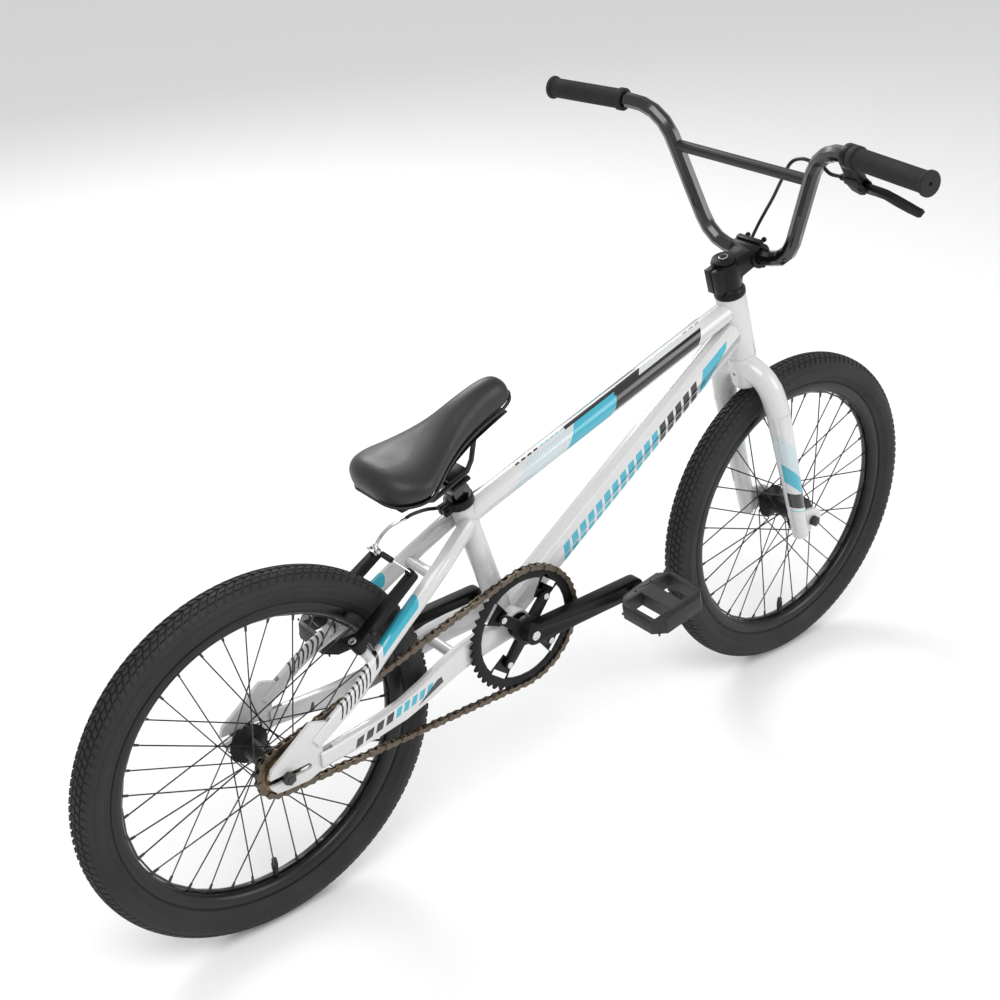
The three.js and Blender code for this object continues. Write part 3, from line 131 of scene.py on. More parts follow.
def make_grain_group():
    """Fine grain and slow colour and sheen variation over a surface."""
    tree, start, end = new_group(
        "surface grain",
        (
            ("Place", "NodeSocketVector", None),
            ("Grain", "NodeSocketFloat", FINE_GRAIN),
            ("Patches", "NodeSocketFloat", SLOW_PATCHES),
        ),
        (("Height", "NodeSocketFloat"), ("Variation", "NodeSocketFloat")),
    )
    place = start["Place"]
    fine = add_node(tree, "ShaderNodeTexNoise", {"Vector": place, "Scale": start["Grain"], "Detail": 3.0})
    slow = add_node(tree, "ShaderNodeTexNoise", {"Vector": place, "Scale": start["Patches"], "Detail": 4.0})
    tree.links.new(fine.outputs[0], end["Height"])
    tree.links.new(slow.outputs[0], end["Variation"])
    return tree


def make_leather_group():
    """Pebbled vinyl grain: small rounded cells with creases between them."""
    tree, start, end = new_group(
        "vinyl pebbles",
        (("Place", "NodeSocketVector", None), ("Scale", "NodeSocketFloat", PEBBLE_SCALE)),
        (("Height", "NodeSocketFloat"),),
    )
    sizes = {"Vector": start["Place"], "Scale": start["Scale"]}
    cells = add_node(tree, "ShaderNodeTexVoronoi", sizes, feature="SMOOTH_F1")
    tree.links.new(cells.outputs["Distance"], end["Height"])
    return tree


def make_bar_group():
    """A mask that is 1 inside one slanted bar, measured along and across a tube."""
    tree, start, end = new_group(
        "painted bar",
        (
            ("Along", "NodeSocketFloat", 0.0),
            ("Across", "NodeSocketFloat", 0.0),
            ("From", "NodeSocketFloat", 0.0),
            ("To", "NodeSocketFloat", 0.0),
            ("Low", "NodeSocketFloat", 0.0),
            ("High", "NodeSocketFloat", 0.0),
            ("Slant", "NodeSocketFloat", 0.0),
            ("Taper", "NodeSocketFloat", 0.0),
        ),
        (("Mask", "NodeSocketFloat"),),
    )
    lean = calc(tree, "MULTIPLY", start["Across"], start["Slant"])
    along = calc(tree, "SUBTRACT", start["Along"], lean)
    after = calc(tree, "GREATER_THAN", along, start["From"])
    before = calc(tree, "LESS_THAN", along, start["To"])
    gone = calc(tree, "SUBTRACT", along, start["From"])
    rise = calc(tree, "ADD", start["Low"], calc(tree, "MULTIPLY", gone, start["Taper"]))
    above = calc(tree, "GREATER_THAN", start["Across"], rise)
    below = calc(tree, "LESS_THAN", start["Across"], start["High"])
    lengthwise = calc(tree, "MULTIPLY", after, before)
    crosswise = calc(tree, "MULTIPLY", above, below)
    tree.links.new(calc(tree, "MULTIPLY", lengthwise, crosswise), end["Mask"])
    return tree


GRAIN = make_grain_group()
PEBBLES = make_leather_group()
BAR = make_bar_group()


def group_node(tree, group, values):
    node = add_node(tree, "ShaderNodeGroup", node_tree=group)
    for key, value in values.items():
        if isinstance(value, bpy.types.NodeSocket):
            tree.links.new(value, node.inputs[key])
        else:
            node.inputs[key].default_value = value
    return node


def new_material(name):
    """A material with only its shader and output, and its Object coordinates."""
    material = bpy.data.materials.new(name)
    material.use_nodes = True
    tree = material.node_tree
    shader = tree.nodes["Principled BSDF"]
    place = tree.nodes.new("ShaderNodeTexCoord").outputs["Object"]
    return material, tree, shader, place


def finish_surface(tree, shader, place, dark, light, rough, grain, depth, patches=SLOW_PATCHES, height=None):
    """Colour between two tones, roughness between two values, and a fine bump."""
    detail = group_node(tree, GRAIN, {"Place": place, "Grain": grain, "Patches": patches})
    variation = detail.outputs["Variation"]
    colour = blend_colour(tree, variation, dark, light)
    span = add_node(
        tree,
        "ShaderNodeMapRange",
        {"Value": variation, "From Min": 0.3, "From Max": 0.7, "To Min": rough[0], "To Max": rough[1]},
    )
    tree.links.new(span.outputs[0], shader.inputs["Roughness"])
    bump_height = height or detail.outputs["Height"]
    bump = add_node(tree, "ShaderNodeBump", {"Height": bump_height, "Distance": depth, "Strength": 1.0})
    tree.links.new(bump.outputs[0], shader.inputs["Normal"])
    return colour


def plain_finish(
    name, dark, light, rough, metallic=0.0, grain=FINE_GRAIN, depth=0.00005, coat=0.0, patches=SLOW_PATCHES
):
    """A paint, metal, rubber or plastic with grain and slow variation."""
    material, tree, shader, place = new_material(name)
    colour = finish_surface(tree, shader, place, dark, light, rough, grain, depth, patches)
    tree.links.new(colour, shader.inputs["Base Color"])
    shader.inputs["Metallic"].default_value = metallic
    shader.inputs["Coat Weight"].default_value = coat
    shader.inputs["Coat Roughness"].default_value = 0.08
    return material


def grey(value, warm=0.0):
    return (value * (1 + warm), value, value * (1 - warm), 1)


# ---------------------------------------------------------------- painted frame


def tube_place(tree, place, foot, rise, round_radius=None):
    """Distance along a tube and across its side, in millimetres. Both sides read the same."""
    split = add_node(tree, "ShaderNodeSeparateXYZ", {0: place}).outputs
    dx = calc(tree, "SUBTRACT", split[0], foot.x)
    dz = calc(tree, "SUBTRACT", split[2], foot.z)
    cosine = math.cos(rise) / MM
    sine = math.sin(rise) / MM
    along = calc(tree, "ADD", calc(tree, "MULTIPLY", dx, cosine), calc(tree, "MULTIPLY", dz, sine))
    across = calc(tree, "SUBTRACT", calc(tree, "MULTIPLY", dz, cosine), calc(tree, "MULTIPLY", dx, sine))
    if round_radius:
        side = calc(tree, "MULTIPLY", calc(tree, "ABSOLUTE", split[1]), 1 / MM)
        angle = calc(tree, "ARCTAN2", across, side)
        across = calc(tree, "MULTIPLY", angle, round_radius)
    return along, across, split[1]


def bar_mask(tree, along, across, first, last, low, high, slant, taper):
    """The mask of one painted bar."""
    values = {
        "Along": along,
        "Across": across,
        "From": first,
        "To": last,
        "Low": low,
        "High": high,
        "Slant": slant,
        "Taper": taper,
    }
    return group_node(tree, BAR, values).outputs[0]


def painted_tube(name, foot, rise, bars, hatches=(), round_radius=None, inner_edge=None):
    """Gloss white paint with slanted bars and hatching.

    bars are (colour, from, to, low, high, slant, taper), and hatches have a pitch and a line width
    for a taper. round_radius measures across a round tube's surface, and inner_edge keeps the bars
    off a tube's inward side.
    """
    material, tree, shader, place = new_material(name)
    white = finish_surface(tree, shader, place, grey(0.55), grey(0.60), (0.22, 0.32), 900.0, 0.00002, 14.0)
    along, across, side = tube_place(tree, place, foot, rise, round_radius)
    colour = white
    for tone, first, last, low, high, slant, taper in bars:
        mask = bar_mask(tree, along, across, first, last, low, high, slant, taper)
        if inner_edge is not None:
            outside = calc(tree, "GREATER_THAN", calc(tree, "ABSOLUTE", side), inner_edge)
            mask = calc(tree, "MULTIPLY", mask, outside)
        colour = blend_colour(tree, mask, colour, tone)
    for tone, first, last, low, high, slant, pitch, width in hatches:
        mask = bar_mask(tree, along, across, first, last, low, high, slant, 0.0)
        lean = calc(tree, "SUBTRACT", along, calc(tree, "MULTIPLY", across, slant))
        wave = add_node(tree, "ShaderNodeMath", {0: lean, 1: pitch, 2: 0.0}, operation="WRAP").outputs[0]
        thin = calc(tree, "LESS_THAN", wave, width)
        colour = blend_colour(tree, calc(tree, "MULTIPLY", mask, thin), colour, tone)
    tree.links.new(colour, shader.inputs["Base Color"])
    shader.inputs["Coat Weight"].default_value = 0.6
    shader.inputs["Coat Roughness"].default_value = 0.06
    return material


# Arc length up from a round tube's side, in millimetres, for a 16 mm radius.
TOP_TUBE_BARS = [
    (CYAN, 176, 262, -16, 19.5, 1.1, 0.0),
    (INK, 176, 272, 19, 26, 0.25, 0.0),
    (INK, 262, 428, -5, 15.5, 0.7, 0.0),
    (INK, 252, 300, 14, 34, 1.1, 0.0),
]
TOP_TUBE_BARS += [(PALE_CYAN, 316 + 14 * count, 325 + 14 * count, 24, 30, 0.5, 0.0) for count in range(6)]
TOP_TUBE_BARS += [(INK, 401 + 12 * count, 409 + 12 * count, 24, 30, 0.5, 0.0) for count in range(3)]
TOP_TUBE_BARS += [(INK, 82 + 11 * count, 89 + 11 * count, 22, 28, 0.5, 0.0) for count in range(4)]
TOP_TUBE_BARS += [(PALE_CYAN, 127 + 9 * count, 133 + 9 * count, 22, 28, 0.5, 0.0) for count in range(5)]
TOP_TUBE_HATCH = [(PALE_CYAN, 78, 172, -12, 18, 1.6, 6.4, 1.6)]

# Slanted bars stand along the down tube's side in two stacked rows, cyan and then black.
BAR_COUNT = 17
BAR_FIRST = 118.0
BAR_PITCH = 18.0
BAR_LENGTH = 13.0
BAR_LEAN = 0.55
CYAN_BARS = 12
LOWER_ROW = (-18.5, -5.5)
UPPER_ROW = (-3.5, 9.5)

DOWN_TUBE_BARS = []
for count in range(BAR_COUNT):
    tone = CYAN if count < CYAN_BARS else INK
    first = BAR_FIRST + count * BAR_PITCH
    for low, high in (LOWER_ROW, UPPER_ROW):
        DOWN_TUBE_BARS.append((tone, first, first + BAR_LENGTH, low, high, BAR_LEAN, 0.0))
DOWN_TUBE_BARS.append((CYAN, 430, 486, -20, 12, 1.0, 0.42))

SEAT_STAY_BARS = [(CYAN, 182, 258, 2, 16, 1.2, 0.0), (INK, 166, 172, 0, 16, 1.2, 0.0)]
SEAT_STAY_HATCH = [(INK, 92, 158, -3, 12, 1.0, 8.0, 3.2)]
CHAIN_STAY_BARS = [(INK, 30 + 17 * count, 42 + 17 * count, -13, -1, 0.5, 0.0) for count in range(4)]
CHAIN_STAY_BARS += [(CYAN, 98 + 13.5 * count, 107 + 13.5 * count, -13, -1, 0.5, 0.0) for count in range(5)]
CHAIN_STAY_BARS.append((INK, 172, 232, -20, -2, 2.2, 0.3))
FORK_BARS = [
    (CYAN, 88, 122, -14, 14, 1.6, 0.0),
    (INK, 52, 80, -14, 14, 0.5, 0.0),
    (PALE_CYAN, 44, 47, -14, 14, 0.5, 0.0),
]
FORK_HATCH = [(PALE_CYAN, 122, 176, -14, 14, 1.6, 5.0, 1.6)]

FINISH = {
    "white": painted_tube("white frame paint", TOP_TUBE_FOOT, 0.0, []),
    "top tube": painted_tube(
        "white paint with top tube bars", TOP_TUBE_FOOT, TOP_TUBE_RISE, TOP_TUBE_BARS, TOP_TUBE_HATCH, 16.0
    ),
    "down tube": painted_tube(
        "white paint with down tube bars", CRANK_AXIS, DOWN_TUBE_RISE, DOWN_TUBE_BARS, inner_edge=0.012
    ),
    "seat stay": painted_tube(
        "white paint with seat stay bars", REAR_AXLE, SEAT_STAY_RISE, SEAT_STAY_BARS, SEAT_STAY_HATCH
    ),
    "chain stay": painted_tube(
        "white paint with chain stay bars",
        CHAIN_STAY_FOOT,
        CHAIN_STAY_RISE,
        CHAIN_STAY_BARS,
        inner_edge=0.045,
    ),
    "fork": painted_tube(
        "white paint with fork bars",
        STEERER_FOOT,
        math.pi - HEAD_ANGLE,
        FORK_BARS,
        FORK_HATCH,
        inner_edge=0.056,
    ),
}


# Name, dark and light tone, roughness range, metallic, grain, bump depth, coat, patches.
PLAIN_FINISHES = {
    "black metal": ("black anodised metal", 0.0035, 0.0065, (0.32, 0.46), 0.6, 2200.0, 0.00005, 0.0, 30.0),
    "gloss black": ("gloss black enamel", 0.002, 0.004, (0.12, 0.22), 0.0, 900.0, 0.00001, 0.5, 30.0),
    "satin black": ("satin black enamel", 0.003, 0.006, (0.38, 0.5), 0.0, 1800.0, 0.00005, 0.0, 30.0),
    "black rim": ("black rim enamel", 0.003, 0.006, (0.25, 0.36), 0.2, 1500.0, 0.00002, 0.0, 30.0),
    "bright steel": ("bright steel", 0.55, 0.68, (0.18, 0.32), 1.0, 1600.0, 0.00001, 0.0, 30.0),
    "dark steel": ("dark steel", 0.05, 0.08, (0.30, 0.42), 0.9, 1600.0, 0.00001, 0.0, 30.0),
    "plastic": ("moulded black plastic", 0.004, 0.008, (0.42, 0.58), 0.0, 2600.0, 0.00008, 0.0, 30.0),
    "grip rubber": ("soft grip rubber", 0.004, 0.009, (0.7, 0.85), 0.0, 2000.0, 0.00012, 0.0, 30.0),
    "tyre": ("tyre rubber", 0.006, 0.012, (0.62, 0.8), 0.0, 1400.0, 0.0001, 0.0, 18.0),
    "housing": ("black cable housing", 0.004, 0.008, (0.3, 0.42), 0.0, 1800.0, 0.00004, 0.0, 30.0),
    "brake rubber": ("brake block rubber", 0.006, 0.012, (0.7, 0.85), 0.0, 1600.0, 0.00005, 0.0, 30.0),
}
for key, (title, dark, light, rough, metallic, grain, depth, coat, patches) in PLAIN_FINISHES.items():
    FINISH[key] = plain_finish(title, grey(dark), grey(light), rough, metallic, grain, depth, coat, patches)
FINISH["chain steel"] = plain_finish(
    "oiled brown chain steel", grey(0.07, 0.25), grey(0.15, 0.22), (0.30, 0.48), 0.9, 1200.0, 0.00002, 0.0, 120.0
)
FINISH["bronze"] = plain_finish(
    "bronze brown steel", grey(0.10, 0.4), grey(0.19, 0.4), (0.3, 0.42), 0.9, 1200.0, 0.00002
)


def make_vinyl():
    """Black saddle vinyl with a pebbled grain."""
    material, tree, shader, place = new_material("black saddle vinyl")
    pebbles = group_node(tree, PEBBLES, {"Place": place, "Scale": PEBBLE_SCALE}).outputs[0]
    colour = finish_surface(
        tree, shader, place, grey(0.004), grey(0.008), (0.40, 0.52), 1500.0, 0.00022, 22.0, pebbles
    )
    tree.links.new(colour, shader.inputs["Base Color"])
    shader.inputs["Coat Weight"].default_value = 0.05
    return material


FINISH["vinyl"] = make_vinyl()


# ---------------------------------------------------------------- modelling helpers


def clear_selection():
    if bpy.context.mode != "OBJECT":
        bpy.ops.object.mode_set(mode="OBJECT")
    bpy.ops.object.select_all(action="DESELECT")


def make_active(piece):
    clear_selection()
    bpy.context.view_layer.objects.active = piece
    piece.select_set(True)


def edit(piece):
    """Edit mode with the whole mesh selected."""
    make_active(piece)
    bpy.ops.object.mode_set(mode="EDIT")
    bpy.ops.mesh.select_all(action="SELECT")


def leave_edit():
    bpy.ops.object.mode_set(mode="OBJECT")


def close_mesh(piece, gap=1e-6):
    """Doubles merged and all faces turned outwards."""
    edit(piece)
    bpy.ops.mesh.remove_doubles(threshold=gap)
    bpy.ops.mesh.normals_make_consistent(inside=False)
    leave_edit()


def apply_modifier(piece, kind, **settings):
    make_active(piece)
    modifier = piece.modifiers.new(kind.lower(), kind)
    for key, value in settings.items():
        setattr(modifier, key, value)
    bpy.ops.object.modifier_apply(modifier=modifier.name)


def soften(piece, angle=35.0):
    make_active(piece)
    bpy.ops.object.shade_smooth_by_angle(angle=math.radians(angle))


def bevel_edges(piece, width, segments=2, angle=35.0):
    apply_modifier(
        piece,
        "BEVEL",
        width=width,
        segments=segments,
        limit_method="ANGLE",
        angle_limit=math.radians(angle),
        use_clamp_overlap=True,
    )


def dress(piece, name, body, finish, replaces=(), angle=35.0):
    """The last step of each piece: its name, finish, body and CAD nodes."""
    piece.name = name
    piece.data.name = name
    piece.data.materials.clear()
    piece.data.materials.append(FINISH[finish])
    make_active(piece)
    bpy.ops.object.transform_apply(location=True, rotation=True, scale=True)
    soften(piece, angle)
    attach(piece, body)
    if replaces:
        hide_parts(*replaces)
    return piece


def mesh_object(name, points, faces, edges=()):
    mesh = bpy.data.meshes.new(name)
    mesh.from_pydata([tuple(p) for p in points], list(edges), faces)
    mesh.update()
    piece = bpy.data.objects.new(name, mesh)
    bpy.context.collection.objects.link(piece)
    return piece


def join_pieces(pieces):
    make_active(pieces[0])
    for piece in pieces:
        piece.select_set(True)
    bpy.ops.object.join()
    return bpy.context.view_layer.objects.active


def turned_copy(piece, matrix):
    """A copy with its own mesh, moved by a matrix."""
    copy = piece.copy()
    copy.data = piece.data.copy()
    copy.data.transform(matrix)
    bpy.context.collection.objects.link(copy)
    return copy


def spun(outline, centre, axis=(0, 1, 0), steps=96):
    """An outline of (radius, along the axis) points, spun round a wheel or shaft."""
    axis = Vector(axis).normalized()
    out = Vector((0, 0, 1)) if abs(axis.z) < 0.9 else Vector((1, 0, 0))
    out = (out - axis * out.dot(axis)).normalized()
    centre = Vector(centre)
    points = [centre + out * radius + axis * along for radius, along in outline]
    count = len(points)
    piece = mesh_object("outline", points, [], [(i, (i + 1) % count) for i in range(count)])
    edit(piece)
    bpy.ops.mesh.spin(steps=steps, angle=FULL_TURN, center=centre, axis=axis)
    leave_edit()
    close_mesh(piece, 2e-6)
    return piece


def rod(start, end, radius, sides=16, bevel=0.0, end_radius=None):
    """A round bar between two points."""
    start, end = Vector(start), Vector(end)
    span = end - start
    bpy.ops.mesh.primitive_cone_add(
        vertices=sides,
        radius1=radius,
        radius2=end_radius or radius,
        depth=span.length,
        location=(start + end) / 2,
        rotation=span.to_track_quat("Z", "Y").to_euler(),
    )
    piece = bpy.context.object
    bpy.ops.object.transform_apply(location=True, rotation=True, scale=True)
    if bevel:
        bevel_edges(piece, bevel, 2, 50)
    return piece


def block(centre, size, matrix=None, bevel=0.0006):
    """A rounded block."""
    bpy.ops.mesh.primitive_cube_add(size=1, location=centre)
    piece = bpy.context.object
    piece.scale = size
    bpy.ops.object.transform_apply(location=True, rotation=True, scale=True)
    if bevel:
        bevel_edges(piece, bevel, 2, 30)
    if matrix:
        piece.data.transform(matrix)
    return piece


def socket_bolt(head, direction, radius=0.004, height=0.004):
    """A round bolt head with a hexagon socket, standing on a point and facing a direction."""
    direction = Vector(direction).normalized()
    piece = rod(head, Vector(head) + direction * height, radius, 20)
    make_active(piece)
    bpy.ops.object.mode_set(mode="EDIT")
    bpy.ops.mesh.select_mode(type="FACE")
    bpy.ops.mesh.select_all(action="DESELECT")
    leave_edit()
    for face in piece.data.polygons:
        face.select = face.normal.dot(direction) > 0.9
    bpy.ops.object.mode_set(mode="EDIT")
    bpy.ops.mesh.inset(thickness=radius * 0.45)
    bpy.ops.mesh.extrude_region_move(TRANSFORM_OT_translate={"value": direction * -height * 0.6})
    leave_edit()
    bevel_edges(piece, radius * 0.08, 2, 50)
    return piece


def tube_along(points, radius, sides=12):
    """A round tube along a smooth curve through points."""
    curve = bpy.data.curves.new("route", "CURVE")
    curve.dimensions = "3D"
    curve.bevel_depth = radius
    curve.bevel_resolution = sides // 4
    curve.use_fill_caps = True
    spline = curve.splines.new("POLY")
    spline.points.add(len(points) - 1)
    for point, place in zip(spline.points, points):
        point.co = (*place, 1)
    piece = bpy.data.objects.new("route", curve)
    bpy.context.collection.objects.link(piece)
    make_active(piece)
    bpy.ops.object.convert(target="MESH")
    close_mesh(piece)
    return piece


def smooth_route(points, per_span=8):
    """Points on a smooth curve that passes through the given ones."""
    points = [Vector(p) for p in points]
    first = points[0] * 2 - points[1]
    last = points[-1] * 2 - points[-2]
    padded = [first] + points + [last]
    route = []
    for i in range(1, len(padded) - 2):
        a, b, c, d = padded[i - 1 : i + 3]
        for step in range(per_span):
            t = step / per_span
            square = (a * 2 - b * 5 + c * 4 - d) * t * t
            cube = (b * 3 - a - c * 3 + d) * t**3
            route.append((b * 2 + (c - a) * t + square + cube) / 2)
    route.append(points[-1])
    return route


def refined(node, finish, body, bevel=0.0, angle=35.0, name=None):
    """A CAD node's own shape with merged vertices, small edge rounds and a better finish."""
    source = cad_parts[node]
    piece = bpy.data.objects.new(node, source.data.copy())
    bpy.context.collection.objects.link(piece)
    edit(piece)
    bpy.ops.mesh.remove_doubles(threshold=1e-6)
    bpy.ops.mesh.tris_convert_to_quads(face_threshold=math.radians(2), shape_threshold=math.radians(60))
    leave_edit()
    if bevel:
        bevel_edges(piece, bevel, 2, 40)
    return dress(piece, name or node + "_shell", body, finish, [node], angle)


# ---------------------------------------------------------------- pieces that keep the CAD shape

REFINED = [
    ("head_tube", "white", "frame", "frame_paint", 0.0006),
    ("top_tube", "top tube", "frame", "frame_paint", 0.0),
    ("down_tube", "down tube", "frame", "frame_paint", 0.0),
    ("seat_tube", "white", "frame", "frame_paint", 0.0006),
    ("bottom_bracket_shell", "white", "frame", "frame_paint", 0.0006),
    ("chain_stay_left", "chain stay", "frame", "frame_paint", 0.0),
    ("chain_stay_right", "chain stay", "frame", "frame_paint", 0.0),
    ("chain_stay_bridge", "white", "frame", "frame_paint", 0.0),
    ("seat_stay_left", "seat stay", "frame", "frame_paint", 0.0),
    ("seat_stay_right", "seat stay", "frame", "frame_paint", 0.0),
    ("seat_stay_bridge", "white", "frame", "frame_paint", 0.0),
    ("dropout_left", "white", "frame", "frame_paint", 0.0006),
    ("dropout_right", "white", "frame", "frame_paint", 0.0006),
    ("fork", "fork", "steering", "frame_paint", 0.0006),
    ("headset_lower_bearing", "black metal", "frame", "black_metal", 0.0),
    ("headset_upper_bearing", "black metal", "frame", "black_metal", 0.0),
    ("headset_cover", "black metal", "steering", "black_metal", 0.0006),
    ("stem", "black metal", "steering", "black_metal", 0.0006),
    ("stem_faceplate", "black metal", "steering", "black_metal", 0.0006),
    ("stem_cap", "black metal", "steering", "black_metal", 0.0005),
    ("handlebar", "gloss black", "steering", "black_paint", 0.0),
    ("handlebar_crossbar", "satin black", "steering", "black_paint", 0.0),
    ("lever_bracket", "black metal", "steering", "black_metal", 0.0006),
    ("barrel_adjuster", "black metal", "steering", "black_metal", 0.0003),
    ("front_axle", "dark steel", "steering", "dark_steel", 0.0004),
    ("rear_axle", "dark steel", "frame", "dark_steel", 0.0004),
    ("seat_collar", "black metal", "frame", "black_metal", 0.0006),
    ("bb_cartridge", "black metal", "frame", "black_metal", 0.0),
    ("seat_post", "gloss black", "seat_post", "black_metal", 0.0),
    ("saddle_clamp", "black metal", "saddle", "black_metal", 0.0004),
    ("saddle_base", "plastic", "saddle", "black_plastic", 0.0),
    ("crank_spindle", "dark steel", "crankset", "dark_steel", 0.0004),
    ("crank_arm_right", "black metal", "crankset", "black_metal", 0.0008),
    ("crank_arm_left", "black metal", "crankset", "black_metal", 0.0008),
    ("chainring", "black metal", "crankset", "black_metal", 0.0003),
    ("pedal_axle_right", "dark steel", "crankset", "dark_steel", 0.0),
    ("pedal_axle_left", "dark steel", "crankset", "dark_steel", 0.0),
    ("pedal_body_right", "plastic", "pedal_right", "black_plastic", 0.0008),
    ("pedal_body_left", "plastic", "pedal_left", "black_plastic", 0.0008),
    ("freewheel", "bronze", "freewheel", "chain_steel", 0.0003),
    ("front_hub", "black metal", "front_wheel", "black_metal", 0.0004),
    ("rear_hub", "black metal", "rear_wheel", "black_metal", 0.0004),
    ("front_spokes", "dark steel", "front_wheel", "dark_steel", 0.0),
    ("rear_spokes", "dark steel", "rear_wheel", "dark_steel", 0.0),
    ("brake_lever", "black metal", "brake_lever", "black_metal", 0.0008),
    ("brake_arm_left", "black metal", "brake_arm_left", "black_metal", 0.0006),
    ("brake_arm_right", "black metal", "brake_arm_right", "black_metal", 0.0006),
    ("brake_pad_left", "brake rubber", "brake_arm_left", "grip_rubber", 0.001),
    ("brake_pad_right", "brake rubber", "brake_arm_right", "grip_rubber", 0.001),
    ("brake_noodle", "bright steel", "brake_arm_left", "bright_steel", 0.0),
    ("brake_wire", "bright steel", "brake_arm_right", "bright_steel", 0.0),
]
for node, finish, body, slot_name, rounding in REFINED:
    refined(node, finish, body, rounding)


# ---------------------------------------------------------------- wheels

WHEELS = {"front": (FRONT_AXLE, "front_wheel"), "rear": (REAR_AXLE, "rear_wheel")}
CARCASS_RADIUS = TYRE_RADIUS - TREAD_HEIGHT
TREAD_ROWS = 132
TREAD_COLUMNS = [(0.8, 6.6, 0.0), (7.6, 13.2, 0.5), (14.2, 19.6, 0.0)]
TREAD_SLANT = 0.85
TREAD_FILL = 0.72


def crown_radius(y_mm):
    """Carcass radius at a distance from the middle of the tread, in metres."""
    share = min(1.0, abs(y_mm) * MM / TYRE_HALF_WIDTH)
    return CARCASS_RADIUS - 0.0205 * (1 - math.sqrt(max(0.0, 1 - share**2.3)))


def tyre_outline():
    """Half of the tyre's section from the crown to the bead, mirrored."""
    half = [(CARCASS_RADIUS, 0.0)]
    half += [(crown_radius(y), y * MM) for y in (4, 8, 12, 15, 18, 20, 21.5, 22.6, 23.3)]
    half += [(0.2345, 0.0238), (0.231, 0.02415), (0.2302, 0.0245), (0.2292, 0.02415), (0.2255, 0.0235)]
    half += [(0.2215, 0.0220), (0.2208, 0.0222), (0.2200, 0.0214), (0.2160, 0.0180), (0.2125, 0.0150)]
    half += [(0.2112, 0.0146), (0.2100, 0.0128), (0.2060, 0.0118)]
    mirrored = [(radius, -along) for radius, along in reversed(half[1:])]
    return mirrored + half


def tread_blocks(centre):
    """Slanted blocks in staggered rows, leaning to a chevron from both sides."""
    points, faces = [], []
    pitch = FULL_TURN / TREAD_ROWS
    for row in range(TREAD_ROWS):
        for side in (1, -1):
            for low, high, stagger in TREAD_COLUMNS:
                base = len(points)
                for lift in (-0.0006, TREAD_HEIGHT):
                    shrink = 0.0 if lift < 0 else 0.35
                    near, far = low + shrink, high - shrink
                    for y_mm, end in ((near, 0), (far, 0), (far, 1), (near, 1)):
                        along = (end - 0.5) * (TREAD_FILL - shrink * 0.12)
                        lean = (y_mm - low) * TREAD_SLANT * MM / TYRE_RADIUS
                        angle = (row + stagger + along) * pitch + lean
                        fall = 0.55 * lift * (y_mm / 24) ** 2 if lift > 0 else 0
                        radius = crown_radius(y_mm) + lift - fall
                        outward = math.atan2(y_mm, 26) * 0.6 if lift > 0 else 0
                        y = side * (y_mm * MM + math.sin(outward) * lift * 0.5)
                        spot = Vector((math.cos(angle) * radius, y, math.sin(angle) * radius))
                        points.append(centre + spot)
                quads = [(0, 1, 2, 3), (4, 5, 6, 7), (0, 1, 5, 4), (1, 2, 6, 5), (2, 3, 7, 6), (3, 0, 4, 7)]
                faces += [tuple(base + i for i in quad) for quad in quads]
    return mesh_object("tread", points, faces)


def make_tyre(end, centre, body):
    carcass = spun(tyre_outline(), centre, steps=192)
    blocks = tread_blocks(centre)
    edit(blocks)
    bpy.ops.mesh.normals_make_consistent(inside=False)
    leave_edit()
    tyre = join_pieces([carcass, blocks])
    dress(tyre, f"{end}_tyre_cover", body, "tyre", [f"{end}_tyre"], 32)


def make_rim(end, centre, body):
    half = RIM_HALF_WIDTH
    inner = half - 0.0016
    outline = [(RIM_INNER, -0.005), (RIM_INNER + 0.0008, -0.0085), (RIM_INNER + 0.004, -0.0118)]
    outline += [(RIM_INNER + 0.0085, -half + 0.0002), (RIM_FLANGE - 0.001, -half)]
    outline += [(RIM_FLANGE, -half + 0.0006)]
    outline += [(RIM_FLANGE, -inner - 0.0003), (RIM_SEAT + 0.0012, -inner), (RIM_SEAT, -inner + 0.0015)]
    outline += [(RIM_SEAT - 0.002, -0.004)]
    outline += [(radius, -along) for radius, along in reversed(outline)]
    rim = spun(outline, centre, steps=192)
    dress(rim, f"{end}_rim_hoop", body, "black rim", [f"{end}_rim"], 38)


NIPPLE_LENGTH = 0.011
SPOKE_LEAN = math.radians(60)
FLANGE_HOLE = 0.0265
FLANGE_Y = 0.029
FLANGE_SHIFT = 0.0012


def spoke_ends(centre, side, k):
    """The hub hole and the rim end of a spoke."""
    hole = (k + (0 if side > 0 else 0.5)) * FULL_TURN / SPOKES_A_SIDE
    way = -1 if k % 2 else 1
    at_rim = hole + way * SPOKE_LEAN
    across = side * (FLANGE_Y + FLANGE_SHIFT * way)
    start = centre + Vector((math.cos(hole) * FLANGE_HOLE, across, math.sin(hole) * FLANGE_HOLE))
    end = centre + Vector((math.cos(at_rim) * RIM_INNER, 0, math.sin(at_rim) * RIM_INNER))
    return start, end


def make_nipples(end, centre, body):
    """A nipple where each spoke meets the rim and a round head on each flange."""
    made = []
    for side in (1, -1):
        for k in range(SPOKES_A_SIDE):
            start, stop = spoke_ends(centre, side, k)
            back = (start - stop).normalized()
            made.append(rod(stop - back * 0.001, stop + back * NIPPLE_LENGTH, 0.0021, 8, 0, 0.0016))
            head = start + Vector((0, side * 0.0004, 0))
            made.append(rod(head, head + Vector((0, side * 0.0014, 0)), 0.0021, 8, 0, 0.0012))
    nipples = join_pieces(made)
    dress(nipples, f"{end}_spoke_nipples", body, "dark steel")


